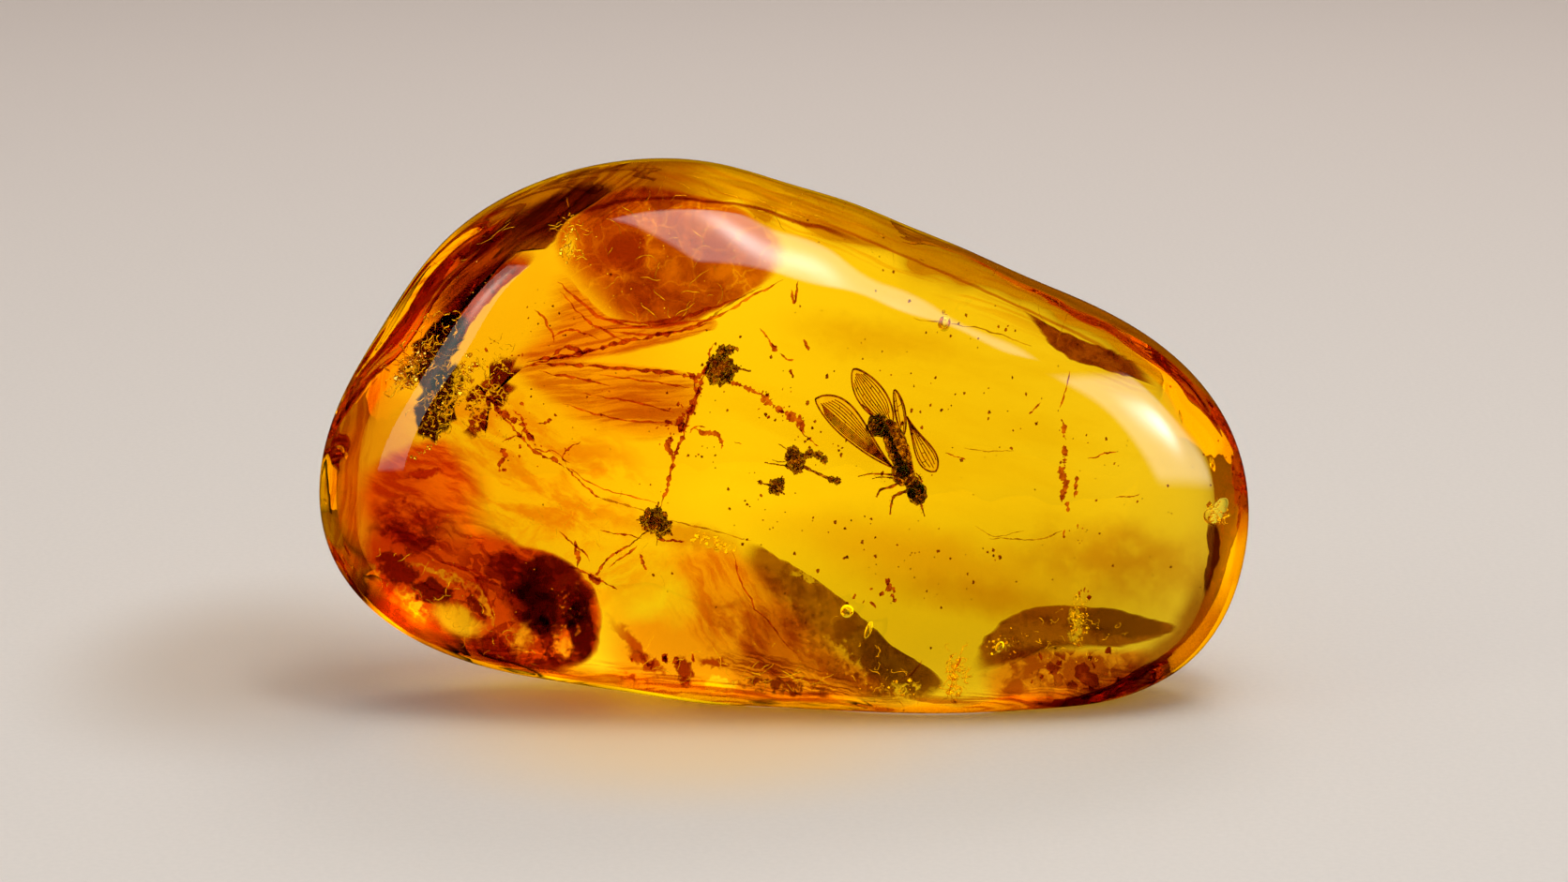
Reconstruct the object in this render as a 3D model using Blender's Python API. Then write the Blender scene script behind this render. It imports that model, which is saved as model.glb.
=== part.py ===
"""An insect in amber: a smooth pebble of clear amber with a four-winged insect sealed inside it.

The pebble is parted in two at its middle plane. The insect, four clumps of forest debris and the
dark lump at the lower left are pieces of their own, and each lies in a pocket that is half in the
front of the amber and half in the back. Metres, +Z up, +X along the pebble's length, +Y away from the side it is looked at from.
The origin is on the surface that the pebble rests on, under the middle of its bounding box.
"""

import math

import bmesh
import bpy
import numpy as np
from mathutils import Matrix, Vector

MM = 0.001

# The pebble. Its outline is looked at along +Y: a radius every 15 degrees, from +X towards +Z.
OUTLINE_RADII = (
    24.2, 20.6, 16.5, 14.3, 13.3, 13.3, 13.9, 15.5, 17.4, 19.4, 21.2, 22.5,
    24.6, 25.0, 22.1, 18.1, 15.7, 14.7, 14.5, 15.4, 17.5, 20.7, 24.7, 25.5,
)
OUTLINE_CENTRE_X = 0.03
OUTLINE_CENTRE_Z = 14.0
HALF_DEPTH = 9.5
FRONT_FULLNESS = 2.4
BACK_FULLNESS = 2.2
PEBBLE_SUBDIVISIONS = 5
PARTING_GAP = 0.3

# The pockets. Meshes are rounded shapes with flat sides, so the reach is more than the clearance.
POCKET_REACH = 0.45
POCKET_GRAIN = 0.35

# The insect, head down and to the right. Its own positions are x, y, z from its middle.
INSECT_MIDDLE = (5.75, 0.0, 13.95)
WING_THICKNESS = 0.12
WING_STATIONS = 9
WING_ROUNDNESS = 0.65
LEG_SIDES = 6

# Clumps of debris: middle, in the same frame as the pebble.
UPPER_CLUMP = (-3.3, -0.1, 18.05)
LOWER_CLUMP = (-6.6, 0.1, 10.45)
MIDDLE_CLUMP = (0.55, 0.0, 13.6)
SMALL_CLUMP = (-0.4, 0.0, 12.3)
DARK_LUMP = (-15.0, -0.4, 7.7)
CLUMP_ROUGHNESS = 0.12


# ---------------------------------------------------------------- the pebble's form


def outline_controls():
    """B-spline control radii whose closed curve passes through OUTLINE_RADII."""
    count = len(OUTLINE_RADII)
    blend = np.zeros((count, count))
    for i in range(count):
        blend[i, i] = 4 / 6
        blend[i, (i + 1) % count] = 1 / 6
        blend[i, (i - 1) % count] = 1 / 6
    return np.linalg.solve(blend, np.array(OUTLINE_RADII))


def outline_radius(angle):
    """The outline's radius in mm at each angle of an array, in radians."""
    controls = outline_controls()
    count = len(controls)
    place = (angle / (2 * math.pi)) % 1 * count
    step = np.floor(place).astype(int)
    f = place - step
    weights = ((1 - f) ** 3, 3 * f**3 - 6 * f**2 + 4, -3 * f**3 + 3 * f**2 + 3 * f + 1, f**3)
    return sum(w * controls[(step + k - 1) % count] for k, w in enumerate(weights)) / 6


def pebble_points(directions):
    """Where rays from the pebble's middle, along an (n, 3) array of directions, leave it, in mm."""
    x, y, z = directions.T
    across = np.hypot(x, z)
    radius = outline_radius(np.arctan2(z, x))
    fullness = np.where(y < 0, FRONT_FULLNESS, BACK_FULLNESS)
    size = (np.abs(y) / HALF_DEPTH) ** fullness + (across / radius) ** fullness
    points = directions * (size ** (-1 / fullness))[:, None]
    return points + np.array((OUTLINE_CENTRE_X, 0.0, OUTLINE_CENTRE_Z))


def cut_away(bm, point, outward):
    """Cut off what lies beyond a plane through point, and close the cut with a flat face."""
    geom = list(bm.verts) + list(bm.edges) + list(bm.faces)
    bmesh.ops.bisect_plane(bm, geom=geom, plane_co=point, plane_no=outward, clear_outer=True)
    rim = [e for e in bm.edges if e.is_boundary]
    bmesh.ops.holes_fill(bm, edges=rim, sides=0)


def pebble_half(name, side, material):
    """One half of the pebble. side is -1 for the front and +1 for the back."""
    bm = bmesh.new()
    bmesh.ops.create_icosphere(bm, subdivisions=PEBBLE_SUBDIVISIONS, radius=1.0)
    directions = np.array([v.co.normalized() for v in bm.verts])
    for vert, place in zip(bm.verts, pebble_points(directions)):
        vert.co = Vector(place)
    cut_away(bm, (0, 0, 0), (0, 0, -1))
    cut_away(bm, (0, side * PARTING_GAP / 2, 0), (0, -side, 0))
    return finished(name, bm, material, smooth_angle=50)


# ---------------------------------------------------------------- shapes in mm


def add_ellipsoid(bm, middle, radii, turn=0.0, roughness=0.0, subdivisions=2):
    """Add an ellipsoid, turned about Y by turn degrees from +Z towards +X, with a lumpy surface."""
    made = bmesh.ops.create_icosphere(bm, subdivisions=subdivisions, radius=1.0)["verts"]
    place = Matrix.Translation(middle) @ Matrix.Rotation(math.radians(turn), 4, "Y")
    for vert in made:
        x, y, z = vert.co
        lump = math.sin(5.1 * x + 1.3) * math.sin(4.3 * y + 0.4) + math.sin(6.7 * z + 3.1 * x)
        grow = 1 + roughness * lump
        vert.co = place @ Vector((x * radii[0] * grow, y * radii[1] * grow, z * radii[2] * grow))


def ring_about(bm, middle, along, radius, sides):
    """A ring of vertices round middle, square to along."""
    side = along.cross(Vector((0.3, 1.0, 0.2))).normalized()
    up = along.cross(side).normalized()
    angles = [2 * math.pi * k / sides for k in range(sides)]
    return [bm.verts.new(middle + radius * (math.cos(a) * side + math.sin(a) * up)) for a in angles]


def add_tube(bm, points, radii, sides=LEG_SIDES):
    """Add a closed tube along points, with a radius at each of them."""
    path = [Vector(p) for p in points]
    rings = []
    for k, (point, radius) in enumerate(zip(path, radii)):
        along = (path[min(k + 1, len(path) - 1)] - path[max(k - 1, 0)]).normalized()
        rings.append(ring_about(bm, point, along, radius, sides))
    for near, far in zip(rings, rings[1:]):
        for k in range(sides):
            after = (k + 1) % sides
            bm.faces.new((near[k], near[after], far[after], far[k]))
    bm.faces.new(list(reversed(rings[0])))
    bm.faces.new(rings[-1])


def wing_edge(share, width, widest):
    """How far a wing's edge stands off its chord, share of the way along it."""
    power = math.log(0.5) / math.log(widest)
    return width * math.sin(math.pi * share**power) ** WING_ROUNDNESS


def add_wing(bm, root, tip, upper, lower):
    """Add a wing as a thin plate. upper and lower are each (width, where along it is widest)."""
    root, tip = Vector(root), Vector(tip)
    chord = tip - root
    side = chord.cross(Vector((0, 1, 0))).normalized()
    half = Vector((0, WING_THICKNESS / 2, 0))
    shares = [k / WING_STATIONS for k in range(1, WING_STATIONS)]
    line = [root]
    line += [root + chord * s + side * wing_edge(s, *upper) for s in shares]
    line += [tip]
    line += [root + chord * s - side * wing_edge(s, *lower) for s in reversed(shares)]
    front = [bm.verts.new(p - half) for p in line]
    back = [bm.verts.new(p + half) for p in line]
    bm.faces.new(front)
    bm.faces.new(list(reversed(back)))
    for k in range(len(line)):
        after = (k + 1) % len(line)
        bm.faces.new((front[k], back[k], back[after], front[after]))


# ---------------------------------------------------------------- the insect


def add_insect_body(bm):
    """The head, thorax, abdomen and the round mass that is stuck to its end."""
    add_ellipsoid(bm, (0.33, 0.05, 0.1), (0.6, 0.5, 1.4), turn=-34, subdivisions=3)
    add_ellipsoid(bm, (1.06, 0.05, -2.06), (0.58, 0.52, 0.7), turn=-20)
    add_ellipsoid(bm, (0.82, 0.05, -1.55), (0.4, 0.36, 0.4))
    add_ellipsoid(bm, (-1.05, -0.1, 1.14), (0.53, 0.5, 0.53), roughness=0.04)
    add_ellipsoid(bm, (-0.6, 0.0, 0.8), (0.42, 0.36, 0.42))


def add_insect_wings(bm):
    """Two long wings up to the left, and two short ones behind the body."""
    add_wing(bm, (0.1, -0.3, -1.2), (-4.25, -0.45, 2.65), upper=(0.66, 0.66), lower=(0.6, 0.52))
    add_wing(bm, (-0.1, 0.2, 0.75), (-2.42, 0.35, 3.62), upper=(0.62, 0.6), lower=(0.54, 0.62))
    add_wing(bm, (0.45, 0.25, 0.6), (-0.28, 0.5, 2.58), upper=(0.22, 0.5), lower=(0.22, 0.6))
    add_wing(bm, (0.4, 0.15, 1.3), (2.15, 0.4, -0.85), upper=(0.28, 0.55), lower=(0.75, 0.6))


def add_insect_limbs(bm):
    """Three legs on the left, the mouthpart, and the feeler beside the round mass."""
    add_tube(bm, ((0.3, 0, -1.25), (-0.94, -0.2, -1.1), (-1.92, -0.25, -1.18)), (0.08, 0.06, 0.05))
    add_tube(bm, ((0.3, 0, -1.4), (-0.74, -0.1, -1.8), (-0.96, -0.1, -2.22)), (0.08, 0.07, 0.1))
    add_tube(bm, ((0.6, 0, -1.9), (-0.1, 0.1, -2.24), (-0.25, 0.2, -3.2)), (0.08, 0.1, 0.06))
    add_tube(bm, ((1.25, 0, -2.45), (1.36, 0, -2.8), (1.48, 0, -3.28)), (0.08, 0.07, 0.05))
    add_tube(bm, ((-1.1, -0.1, 1.4), (-1.55, -0.1, 1.88), (-1.9, -0.1, 2.15)), (0.06, 0.12, 0.05))


def add_insect_thorax(bm):
    """The thorax, which the rest of the insect is joined to."""
    add_ellipsoid(bm, (0.45, 0.05, -1.1), (0.6, 0.55, 0.6), roughness=0.03)


# ---------------------------------------------------------------- the debris


def add_upper_clump(bm):
    """A round clump with a cap of bark on it."""
    add_ellipsoid(bm, (0.3, 0.0, 0.75), (0.45, 0.25, 0.26), turn=15, roughness=CLUMP_ROUGHNESS)
    add_tube(bm, ((0.4, 0, 0.1), (0.9, -0.1, 0.15), (1.5, -0.2, -0.15)), (0.07, 0.06, 0.05))


def add_lower_clump(bm):
    """The short spurs that stand out of the lower clump."""
    add_ellipsoid(bm, (-0.72, 0.0, 0.02), (0.3, 0.2, 0.26), turn=30, roughness=CLUMP_ROUGHNESS)
    add_tube(bm, ((-0.3, 0, 0.2), (0.0, 0, 0.65), (0.12, 0, 1.0)), (0.1, 0.08, 0.05))
    add_tube(bm, ((0.2, 0, -0.2), (0.55, 0, -0.25), (0.85, 0.1, -0.35)), (0.12, 0.1, 0.05))


def add_middle_clump(bm):
    """The branches of the middle clump."""
    add_tube(bm, ((0.2, 0, 0.2), (0.9, 0, 0.28), (1.55, -0.1, 0.02)), (0.08, 0.07, 0.14))
    add_tube(bm, ((0.2, 0, -0.2), (1.4, 0.1, -0.8), (2.2, 0.1, -1.07)), (0.09, 0.08, 0.13))
    add_tube(bm, ((-0.2, 0, -0.25), (-0.9, 0, -0.2), (-1.6, 0.1, -0.1)), (0.08, 0.06, 0.07))


def add_small_clump(bm):
    """The arms of the small clump."""
    add_tube(bm, ((-0.1, 0, 0.0), (-0.5, 0, 0.08), (-1.0, 0, 0.25)), (0.09, 0.06, 0.09))
    add_tube(bm, ((0.0, 0, 0.1), (0.2, 0, 0.3), (0.3, -0.1, 0.52)), (0.12, 0.1, 0.05))


def add_dark_lump(bm):
    """The dark lump's lobes: a shallow one up to the left and a round one down to the right."""
    add_ellipsoid(bm, (-3.2, 0.1, 1.2), (2.5, 1.3, 2.1), turn=20, roughness=CLUMP_ROUGHNESS / 2)
    add_ellipsoid(bm, (3.1, 0.0, -1.2), (2.4, 1.6, 2.4), roughness=CLUMP_ROUGHNESS / 3)


CLUMPS = (
    ("debris_upper", UPPER_CLUMP, (0.6, 0.55, 0.62), add_upper_clump),
    ("debris_lower", LOWER_CLUMP, (0.55, 0.5, 0.62), add_lower_clump),
    ("debris_middle", MIDDLE_CLUMP, (0.42, 0.4, 0.58), add_middle_clump),
    ("debris_small", SMALL_CLUMP, (0.36, 0.34, 0.36), add_small_clump),
    ("dark_lump", DARK_LUMP, (4.2, 1.6, 2.8), add_dark_lump),
)


# ---------------------------------------------------------------- objects


def plain_material(name, colour, roughness, transmission=0.0):
    """A Principled material of one colour."""
    material = bpy.data.materials.new(name)
    material.use_nodes = True
    shader = material.node_tree.nodes["Principled BSDF"]
    shader.inputs["Base Color"].default_value = (*colour, 1.0)
    shader.inputs["Roughness"].default_value = roughness
    shader.inputs["Metallic"].default_value = 0.0
    shader.inputs["Transmission Weight"].default_value = transmission
    return material


def finished(name, bm, material, smooth_angle=180.0):
    """Turn a bmesh in mm into an object in metres with outward faces, and free the bmesh."""
    bmesh.ops.scale(bm, verts=bm.verts, vec=(MM, MM, MM))
    bmesh.ops.recalc_face_normals(bm, faces=bm.faces)
    mesh = bpy.data.meshes.new(name)
    bm.to_mesh(mesh)
    bm.free()
    mesh.materials.append(material)
    mesh.shade_smooth()
    mesh.set_sharp_from_angle(angle=math.radians(smooth_angle))
    obj = bpy.data.objects.new(name, mesh)
    bpy.context.scene.collection.objects.link(obj)
    return obj


def as_cutter(obj):
    """Keep an object as a construction shape only."""
    obj.hide_render = True
    obj.display_type = "WIRE"
    return obj


def add_boolean(obj, operation, other):
    """Join another object to this one, or cut it away."""
    boolean = obj.modifiers.new(other.name, "BOOLEAN")
    boolean.operation = operation
    boolean.solver = "EXACT"
    boolean.use_self = True
    boolean.object = other


def joined_piece(name, middle, material, add_core, add_rest):
    """One solid at middle, from a core and the shapes that overlap it."""
    shift = Matrix.Translation(middle)
    core, rest = bmesh.new(), bmesh.new()
    add_core(core)
    add_rest(rest)
    for bm in (core, rest):
        bm.transform(shift)
    piece = finished(name, core, material)
    limbs = as_cutter(finished(name + "_limbs", rest, material))
    add_boolean(piece, "UNION", limbs)
    return piece, limbs


def add_insect_rest(bm):
    """Everything on the insect but its thorax."""
    add_insect_body(bm)
    add_insect_wings(bm)
    add_insect_limbs(bm)


def insect(material):
    """The whole insect, as one solid."""
    return joined_piece("insect", INSECT_MIDDLE, material, add_insect_thorax, add_insect_rest)


def clump(name, middle, radii, add_rest, material):
    """One clump of debris, as one solid."""

    def add_core(bm):
        add_ellipsoid(bm, (0, 0, 0), radii, roughness=CLUMP_ROUGHNESS / 2)

    return joined_piece(name, middle, material, add_core, add_rest)


def add_pocket(bm, objects):
    """Add the rounded hull that clears every vertex of some objects, in mm."""
    reach = bmesh.new()
    bmesh.ops.create_icosphere(reach, subdivisions=1, radius=POCKET_REACH)
    offsets = [v.co.copy() for v in reach.verts]
    reach.free()
    points = [v.co / MM for obj in objects for v in obj.data.vertices]
    hull = bmesh.new()
    for point in points:
        for offset in offsets:
            hull.verts.new(point + offset)
    bmesh.ops.remove_doubles(hull, verts=hull.verts, dist=POCKET_GRAIN)
    bmesh.ops.convex_hull(hull, input=hull.verts, use_existing_faces=False)
    spare = [v for v in hull.verts if not v.link_faces]
    bmesh.ops.delete(hull, geom=spare, context="VERTS")
    mesh = bpy.data.meshes.new("pocket")
    hull.to_mesh(mesh)
    hull.free()
    bm.from_mesh(mesh)
    bpy.data.meshes.remove(mesh)


def main():
    """Build the two halves of the amber and the six pieces sealed between them."""
    for obj in list(bpy.data.objects):
        bpy.data.objects.remove(obj)

    amber = plain_material("amber", (0.85, 0.45, 0.03), 0.05, transmission=0.8)
    chitin = plain_material("chitin", (0.11, 0.04, 0.015), 0.45)
    bark = plain_material("bark", (0.07, 0.025, 0.012), 0.7)

    sealed = [insect(chitin)]
    sealed += [clump(name, middle, radii, rest, bark) for name, middle, radii, rest in CLUMPS]

    pockets = bmesh.new()
    for pair in sealed:
        add_pocket(pockets, pair)
    cutter = as_cutter(finished("pockets", pockets, amber))

    for name, side in (("amber_front", -1), ("amber_back", 1)):
        add_boolean(pebble_half(name, side, amber), "DIFFERENCE", cutter)


main()
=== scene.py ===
"""Dresses the insect in amber: a clear pebble, the flows and cracks inside it, the fly and its debris."""

import logging
from dataclasses import dataclass, field
from enum import Enum, auto
from functools import cache, cached_property
from math import cos, pi, radians, sin, sqrt
from typing import Any, Iterable, Sequence, TypeVar

import bmesh
import bpy
import numpy as np
from mathutils import Matrix, Vector, noise


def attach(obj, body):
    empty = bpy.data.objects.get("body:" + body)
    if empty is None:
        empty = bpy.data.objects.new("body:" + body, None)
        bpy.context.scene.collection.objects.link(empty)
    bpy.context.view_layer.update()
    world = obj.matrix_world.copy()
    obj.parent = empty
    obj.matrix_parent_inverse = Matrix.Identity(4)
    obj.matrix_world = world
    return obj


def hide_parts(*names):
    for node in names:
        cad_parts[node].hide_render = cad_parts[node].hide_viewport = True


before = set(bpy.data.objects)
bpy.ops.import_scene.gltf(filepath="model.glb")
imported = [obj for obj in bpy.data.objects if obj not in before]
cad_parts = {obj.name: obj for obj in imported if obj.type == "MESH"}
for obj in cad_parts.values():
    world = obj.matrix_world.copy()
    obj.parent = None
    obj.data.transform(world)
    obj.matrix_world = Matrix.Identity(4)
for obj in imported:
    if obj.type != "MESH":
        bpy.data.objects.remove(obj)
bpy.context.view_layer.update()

MM = 0.001
BODY = "root"
SEEN = "seen"
FADE = "fade"
OUT = "out"
WHITE = (1.0, 1.0, 1.0)
LOG = logging.getLogger("insect_in_amber")

Colour = tuple[float, float, float]
Point = tuple[float, float, float]
Spot = tuple[float, float]
Array = np.ndarray
Object = bpy.types.Object
Material = bpy.types.Material
Row = TypeVar("Row")


# -------------------- the pebble's form and the view


@dataclass(frozen=True)
class PebbleForm:
    """The pebble's outer form, in mm: an outline of radii, thick in the middle and round at its rim."""

    outline_radii: tuple[float, ...] = (
        24.2, 20.6, 16.5, 14.3, 13.3, 13.3, 13.9, 15.5, 17.4, 19.4, 21.2, 22.5,
        24.6, 25.0, 22.1, 18.1, 15.7, 14.7, 14.5, 15.4, 17.5, 20.7, 24.7, 25.5,
    )
    middle: Point = (0.03, 0.0, 14.0)
    half_depth: float = 9.5
    front_fullness: float = 2.4
    back_fullness: float = 2.2
    base_softness: float = 0.12

    def controls(self) -> Array:
        """B-spline control radii whose closed curve passes through the outline's radii."""
        count = len(self.outline_radii)
        blend = np.eye(count) * 4 / 6
        blend += (np.roll(np.eye(count), 1, axis=1) + np.roll(np.eye(count), -1, axis=1)) / 6
        return np.linalg.solve(blend, np.array(self.outline_radii))

    def outline(self, angle: Array) -> Array:
        """The outline's radius at each angle, from +X towards +Z.

        Args:
            angle: Angles in radians.

        Returns:
            Radii in mm.
        """
        controls = self.controls()
        count = len(controls)
        place = (angle / (2 * pi)) % 1 * count
        step = np.floor(place).astype(int)
        f = place - step
        weights = ((1 - f) ** 3, 3 * f**3 - 6 * f**2 + 4, -3 * f**3 + 3 * f**2 + 3 * f + 1, f**3)
        return sum(w * controls[(step + k - 1) % count] for k, w in enumerate(weights)) / 6

    def size(self, offsets: Array) -> tuple[Array, Array]:
        """How far out offsets from the middle reach, 1 at the surface, and the fullness there."""
        x, y, z = offsets.T
        fullness = np.where(y < 0, self.front_fullness, self.back_fullness)
        across = np.hypot(x, z) / self.outline(np.arctan2(z, x))
        return (np.abs(y) / self.half_depth) ** fullness + across**fullness, fullness

    def level(self, points: Array) -> Array:
        """How far out each point is: below 0 inside the pebble, 0 on its surface."""
        return self.size(points - np.array(self.middle))[0] - 1

    def surface(self, directions: Array) -> Array:
        """Where rays from the pebble's middle leave it, with the base settled on the floor."""
        size, fullness = self.size(directions)
        points = directions * (size ** (-1 / fullness))[:, None] + np.array(self.middle)
        points[:, 2] = self.settled(points[:, 2])
        return points

    def settled(self, heights: Array) -> Array:
        """Heights above the floor, with what would go below it pressed flat in a soft curve."""
        share = np.clip(heights / self.base_softness, -40, 40)
        return np.where(share > 30, heights, self.base_softness * np.log1p(np.exp(share)))

    def normal(self, points: Array) -> Array:
        """Outward unit normals of the form at some points on its surface."""
        reach = 1e-3
        steps = np.eye(3) * reach
        slope = np.stack([self.level(points + step) - self.level(points - step) for step in steps], axis=1)
        return slope / np.linalg.norm(slope, axis=1, keepdims=True)


@dataclass(frozen=True)
class Sight:
    """The view of the pebble's face, and where a thing seen at (u, v) on that face lies inside.

    u runs to the right and v up, in mm, on the plane through the pebble's middle and square to the
    line of sight. Light bends where it enters the amber, so a thing is not quite where it is seen.
    """

    form: PebbleForm
    elevation: float = radians(12)
    distance: float = 233.7
    index: float = 1.54
    nearest: float = 195.0
    farthest: float = 262.0
    steps: int = 180
    halvings: int = 24
    inset: float = 0.99
    front_skin: float = 0.12
    back_skin: float = 0.15
    lowest: float = 0.25

    @cached_property
    def forward(self) -> Array:
        """The direction of sight."""
        return np.array((0.0, cos(self.elevation), -sin(self.elevation)))

    @cached_property
    def up(self) -> Array:
        """The direction that is seen as up."""
        return np.array((0.0, sin(self.elevation), cos(self.elevation)))

    def eye(self) -> Array:
        """The camera's place in mm."""
        return np.array((0.0, 0.0, self.form.middle[2])) - self.distance * self.forward

    def rays(self, seen: Array) -> Array:
        """Unit directions from the eye to (n, 2) seen places."""
        out = self.forward * self.distance + seen[:, :1] * np.array((1.0, 0.0, 0.0)) + seen[:, 1:2] * self.up
        return out / np.linalg.norm(out, axis=1, keepdims=True)

    def first_inside(self, start: Array, along: Array, near: float, far: float, enter: bool) -> Array:
        """How far along each ray the surface is crossed.

        Args:
            start: (n, 3) starts.
            along: (n, 3) unit directions.
            near: Where the search starts.
            far: Where it ends.
            enter: Whether the ray goes in there, and not out.

        Returns:
            Distances in mm; far where a ray never crosses.
        """
        steps = np.linspace(near, far, self.steps)
        low = np.full(len(start), near)
        high = np.full(len(start), far)
        found = np.zeros(len(start), bool)
        for before, after in zip(steps, steps[1:]):
            inside = self.form.level(start + along * after) < 0
            new = ~found & (inside == enter)
            low[new], high[new] = before, after
            found |= new
        for _ in range(self.halvings):
            mid = (low + high) / 2
            crossed = (self.form.level(start + along * mid[:, None]) < 0) == enter
            high = np.where(found & crossed, mid, high)
            low = np.where(found & ~crossed, mid, low)
        return high

    @cached_property
    def edge(self) -> Array:
        """The radius of the pebble's outline as it is seen, every two degrees from +u towards +v."""
        angle = np.radians(np.arange(0, 360, 2))
        way = np.stack((np.cos(angle), np.sin(angle)), axis=1)
        low, high = np.full(len(angle), 8.0), np.full(len(angle), 30.0)
        for _ in range(self.halvings // 2):
            mid = (low + high) / 2
            ray = self.rays(way * mid[:, None])
            eye = np.broadcast_to(self.eye(), ray.shape)
            hit = self.first_inside(eye, ray, self.nearest, self.farthest, True) < self.farthest
            low, high = np.where(hit, mid, low), np.where(hit, high, mid)
        return low

    def face(self, points: Array) -> Array:
        """Where (n, 3) points on the pebble are seen, as if nothing bent the light."""
        rel = points - np.array((0.0, 0.0, self.form.middle[2]))
        nearer = self.distance / (self.distance + rel @ self.forward)
        return np.stack((rel[:, 0], rel @ self.up), axis=1) * nearer[:, None]

    def limit(self, seen: Array) -> Array:
        """How far out the pebble's outline is in the directions of some seen places, in mm."""
        angle = np.degrees(np.arctan2(seen[:, 1], seen[:, 0]))
        return np.interp(angle, np.arange(0, 360, 2), self.edge, period=360)

    def share(self, seen: Array) -> Array:
        """How far out to the pebble's outline some seen places are, 0 to 1."""
        return np.hypot(*seen.T) / self.limit(seen)

    def drawn_in(self, seen: Array) -> Array:
        """The same places, with those at or beside the pebble's outline drawn in to its face."""
        reach = np.maximum(np.hypot(*seen.T), 1e-6)
        return seen * np.minimum(1, self.inset * self.limit(seen) / reach)[:, None]

    def place(self, seen: Array, depth: Array) -> Array:
        """Where things seen at some places lie inside the amber.

        Args:
            seen: (n, 2) places on the face, in mm.
            depth: (n,) depths along +Y, in mm.

        Returns:
            (n, 3) points in mm, kept a little inside the surface.
        """
        ray = self.rays(self.drawn_in(seen))
        eye = np.broadcast_to(self.eye(), ray.shape)
        entry = self.first_inside(eye, ray, self.nearest, self.farthest, True)
        start = eye + ray * entry[:, None]
        normal = self.form.normal(start)
        cosine = -np.sum(ray * normal, axis=1, keepdims=True)
        ratio = 1 / self.index
        bent = ratio * ray + (ratio * cosine - np.sqrt(1 - ratio**2 * (1 - cosine**2))) * normal
        leave = self.first_inside(start, bent, 0.2, 60.0, False)
        reach = (depth - start[:, 1]) / bent[:, 1]
        deepest = np.maximum(leave - self.back_skin, self.front_skin)
        points = start + bent * np.clip(reach, self.front_skin, deepest)[:, None]
        points[:, 2] = np.maximum(points[:, 2], self.lowest)
        return points

    def spot(self, u: float, v: float, depth: float) -> Vector:
        """Where one thing seen at (u, v) lies inside the amber."""
        return Vector(self.place(np.array([(u, v)]), np.array([depth]))[0])


FORM = PebbleForm()
SIGHT = Sight(FORM)


# -------------------- shader graphs


class Wire:
    """A shader socket that takes part in Python expressions on values."""

    def __init__(self, graph: "Graph", socket: bpy.types.NodeSocket) -> None:
        """Args:
            graph: The graph that the socket belongs to.
            socket: An output socket.
        """
        self.graph = graph
        self.socket = socket

    def __add__(self, other: "Value") -> "Wire":
        """Sum."""
        return self.graph.math("ADD", self, other)

    def __sub__(self, other: "Value") -> "Wire":
        """Difference."""
        return self.graph.math("SUBTRACT", self, other)

    def __rsub__(self, other: "Value") -> "Wire":
        """Difference, with the number first."""
        return self.graph.math("SUBTRACT", other, self)

    def __mul__(self, other: "Value") -> "Wire":
        """Product."""
        return self.graph.math("MULTIPLY", self, other)

    def __truediv__(self, other: "Value") -> "Wire":
        """Quotient."""
        return self.graph.math("DIVIDE", self, other)

    def __pow__(self, other: "Value") -> "Wire":
        """Power."""
        return self.graph.math("POWER", self, other)

    __radd__ = __add__
    __rmul__ = __mul__


Value = Wire | float


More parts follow.
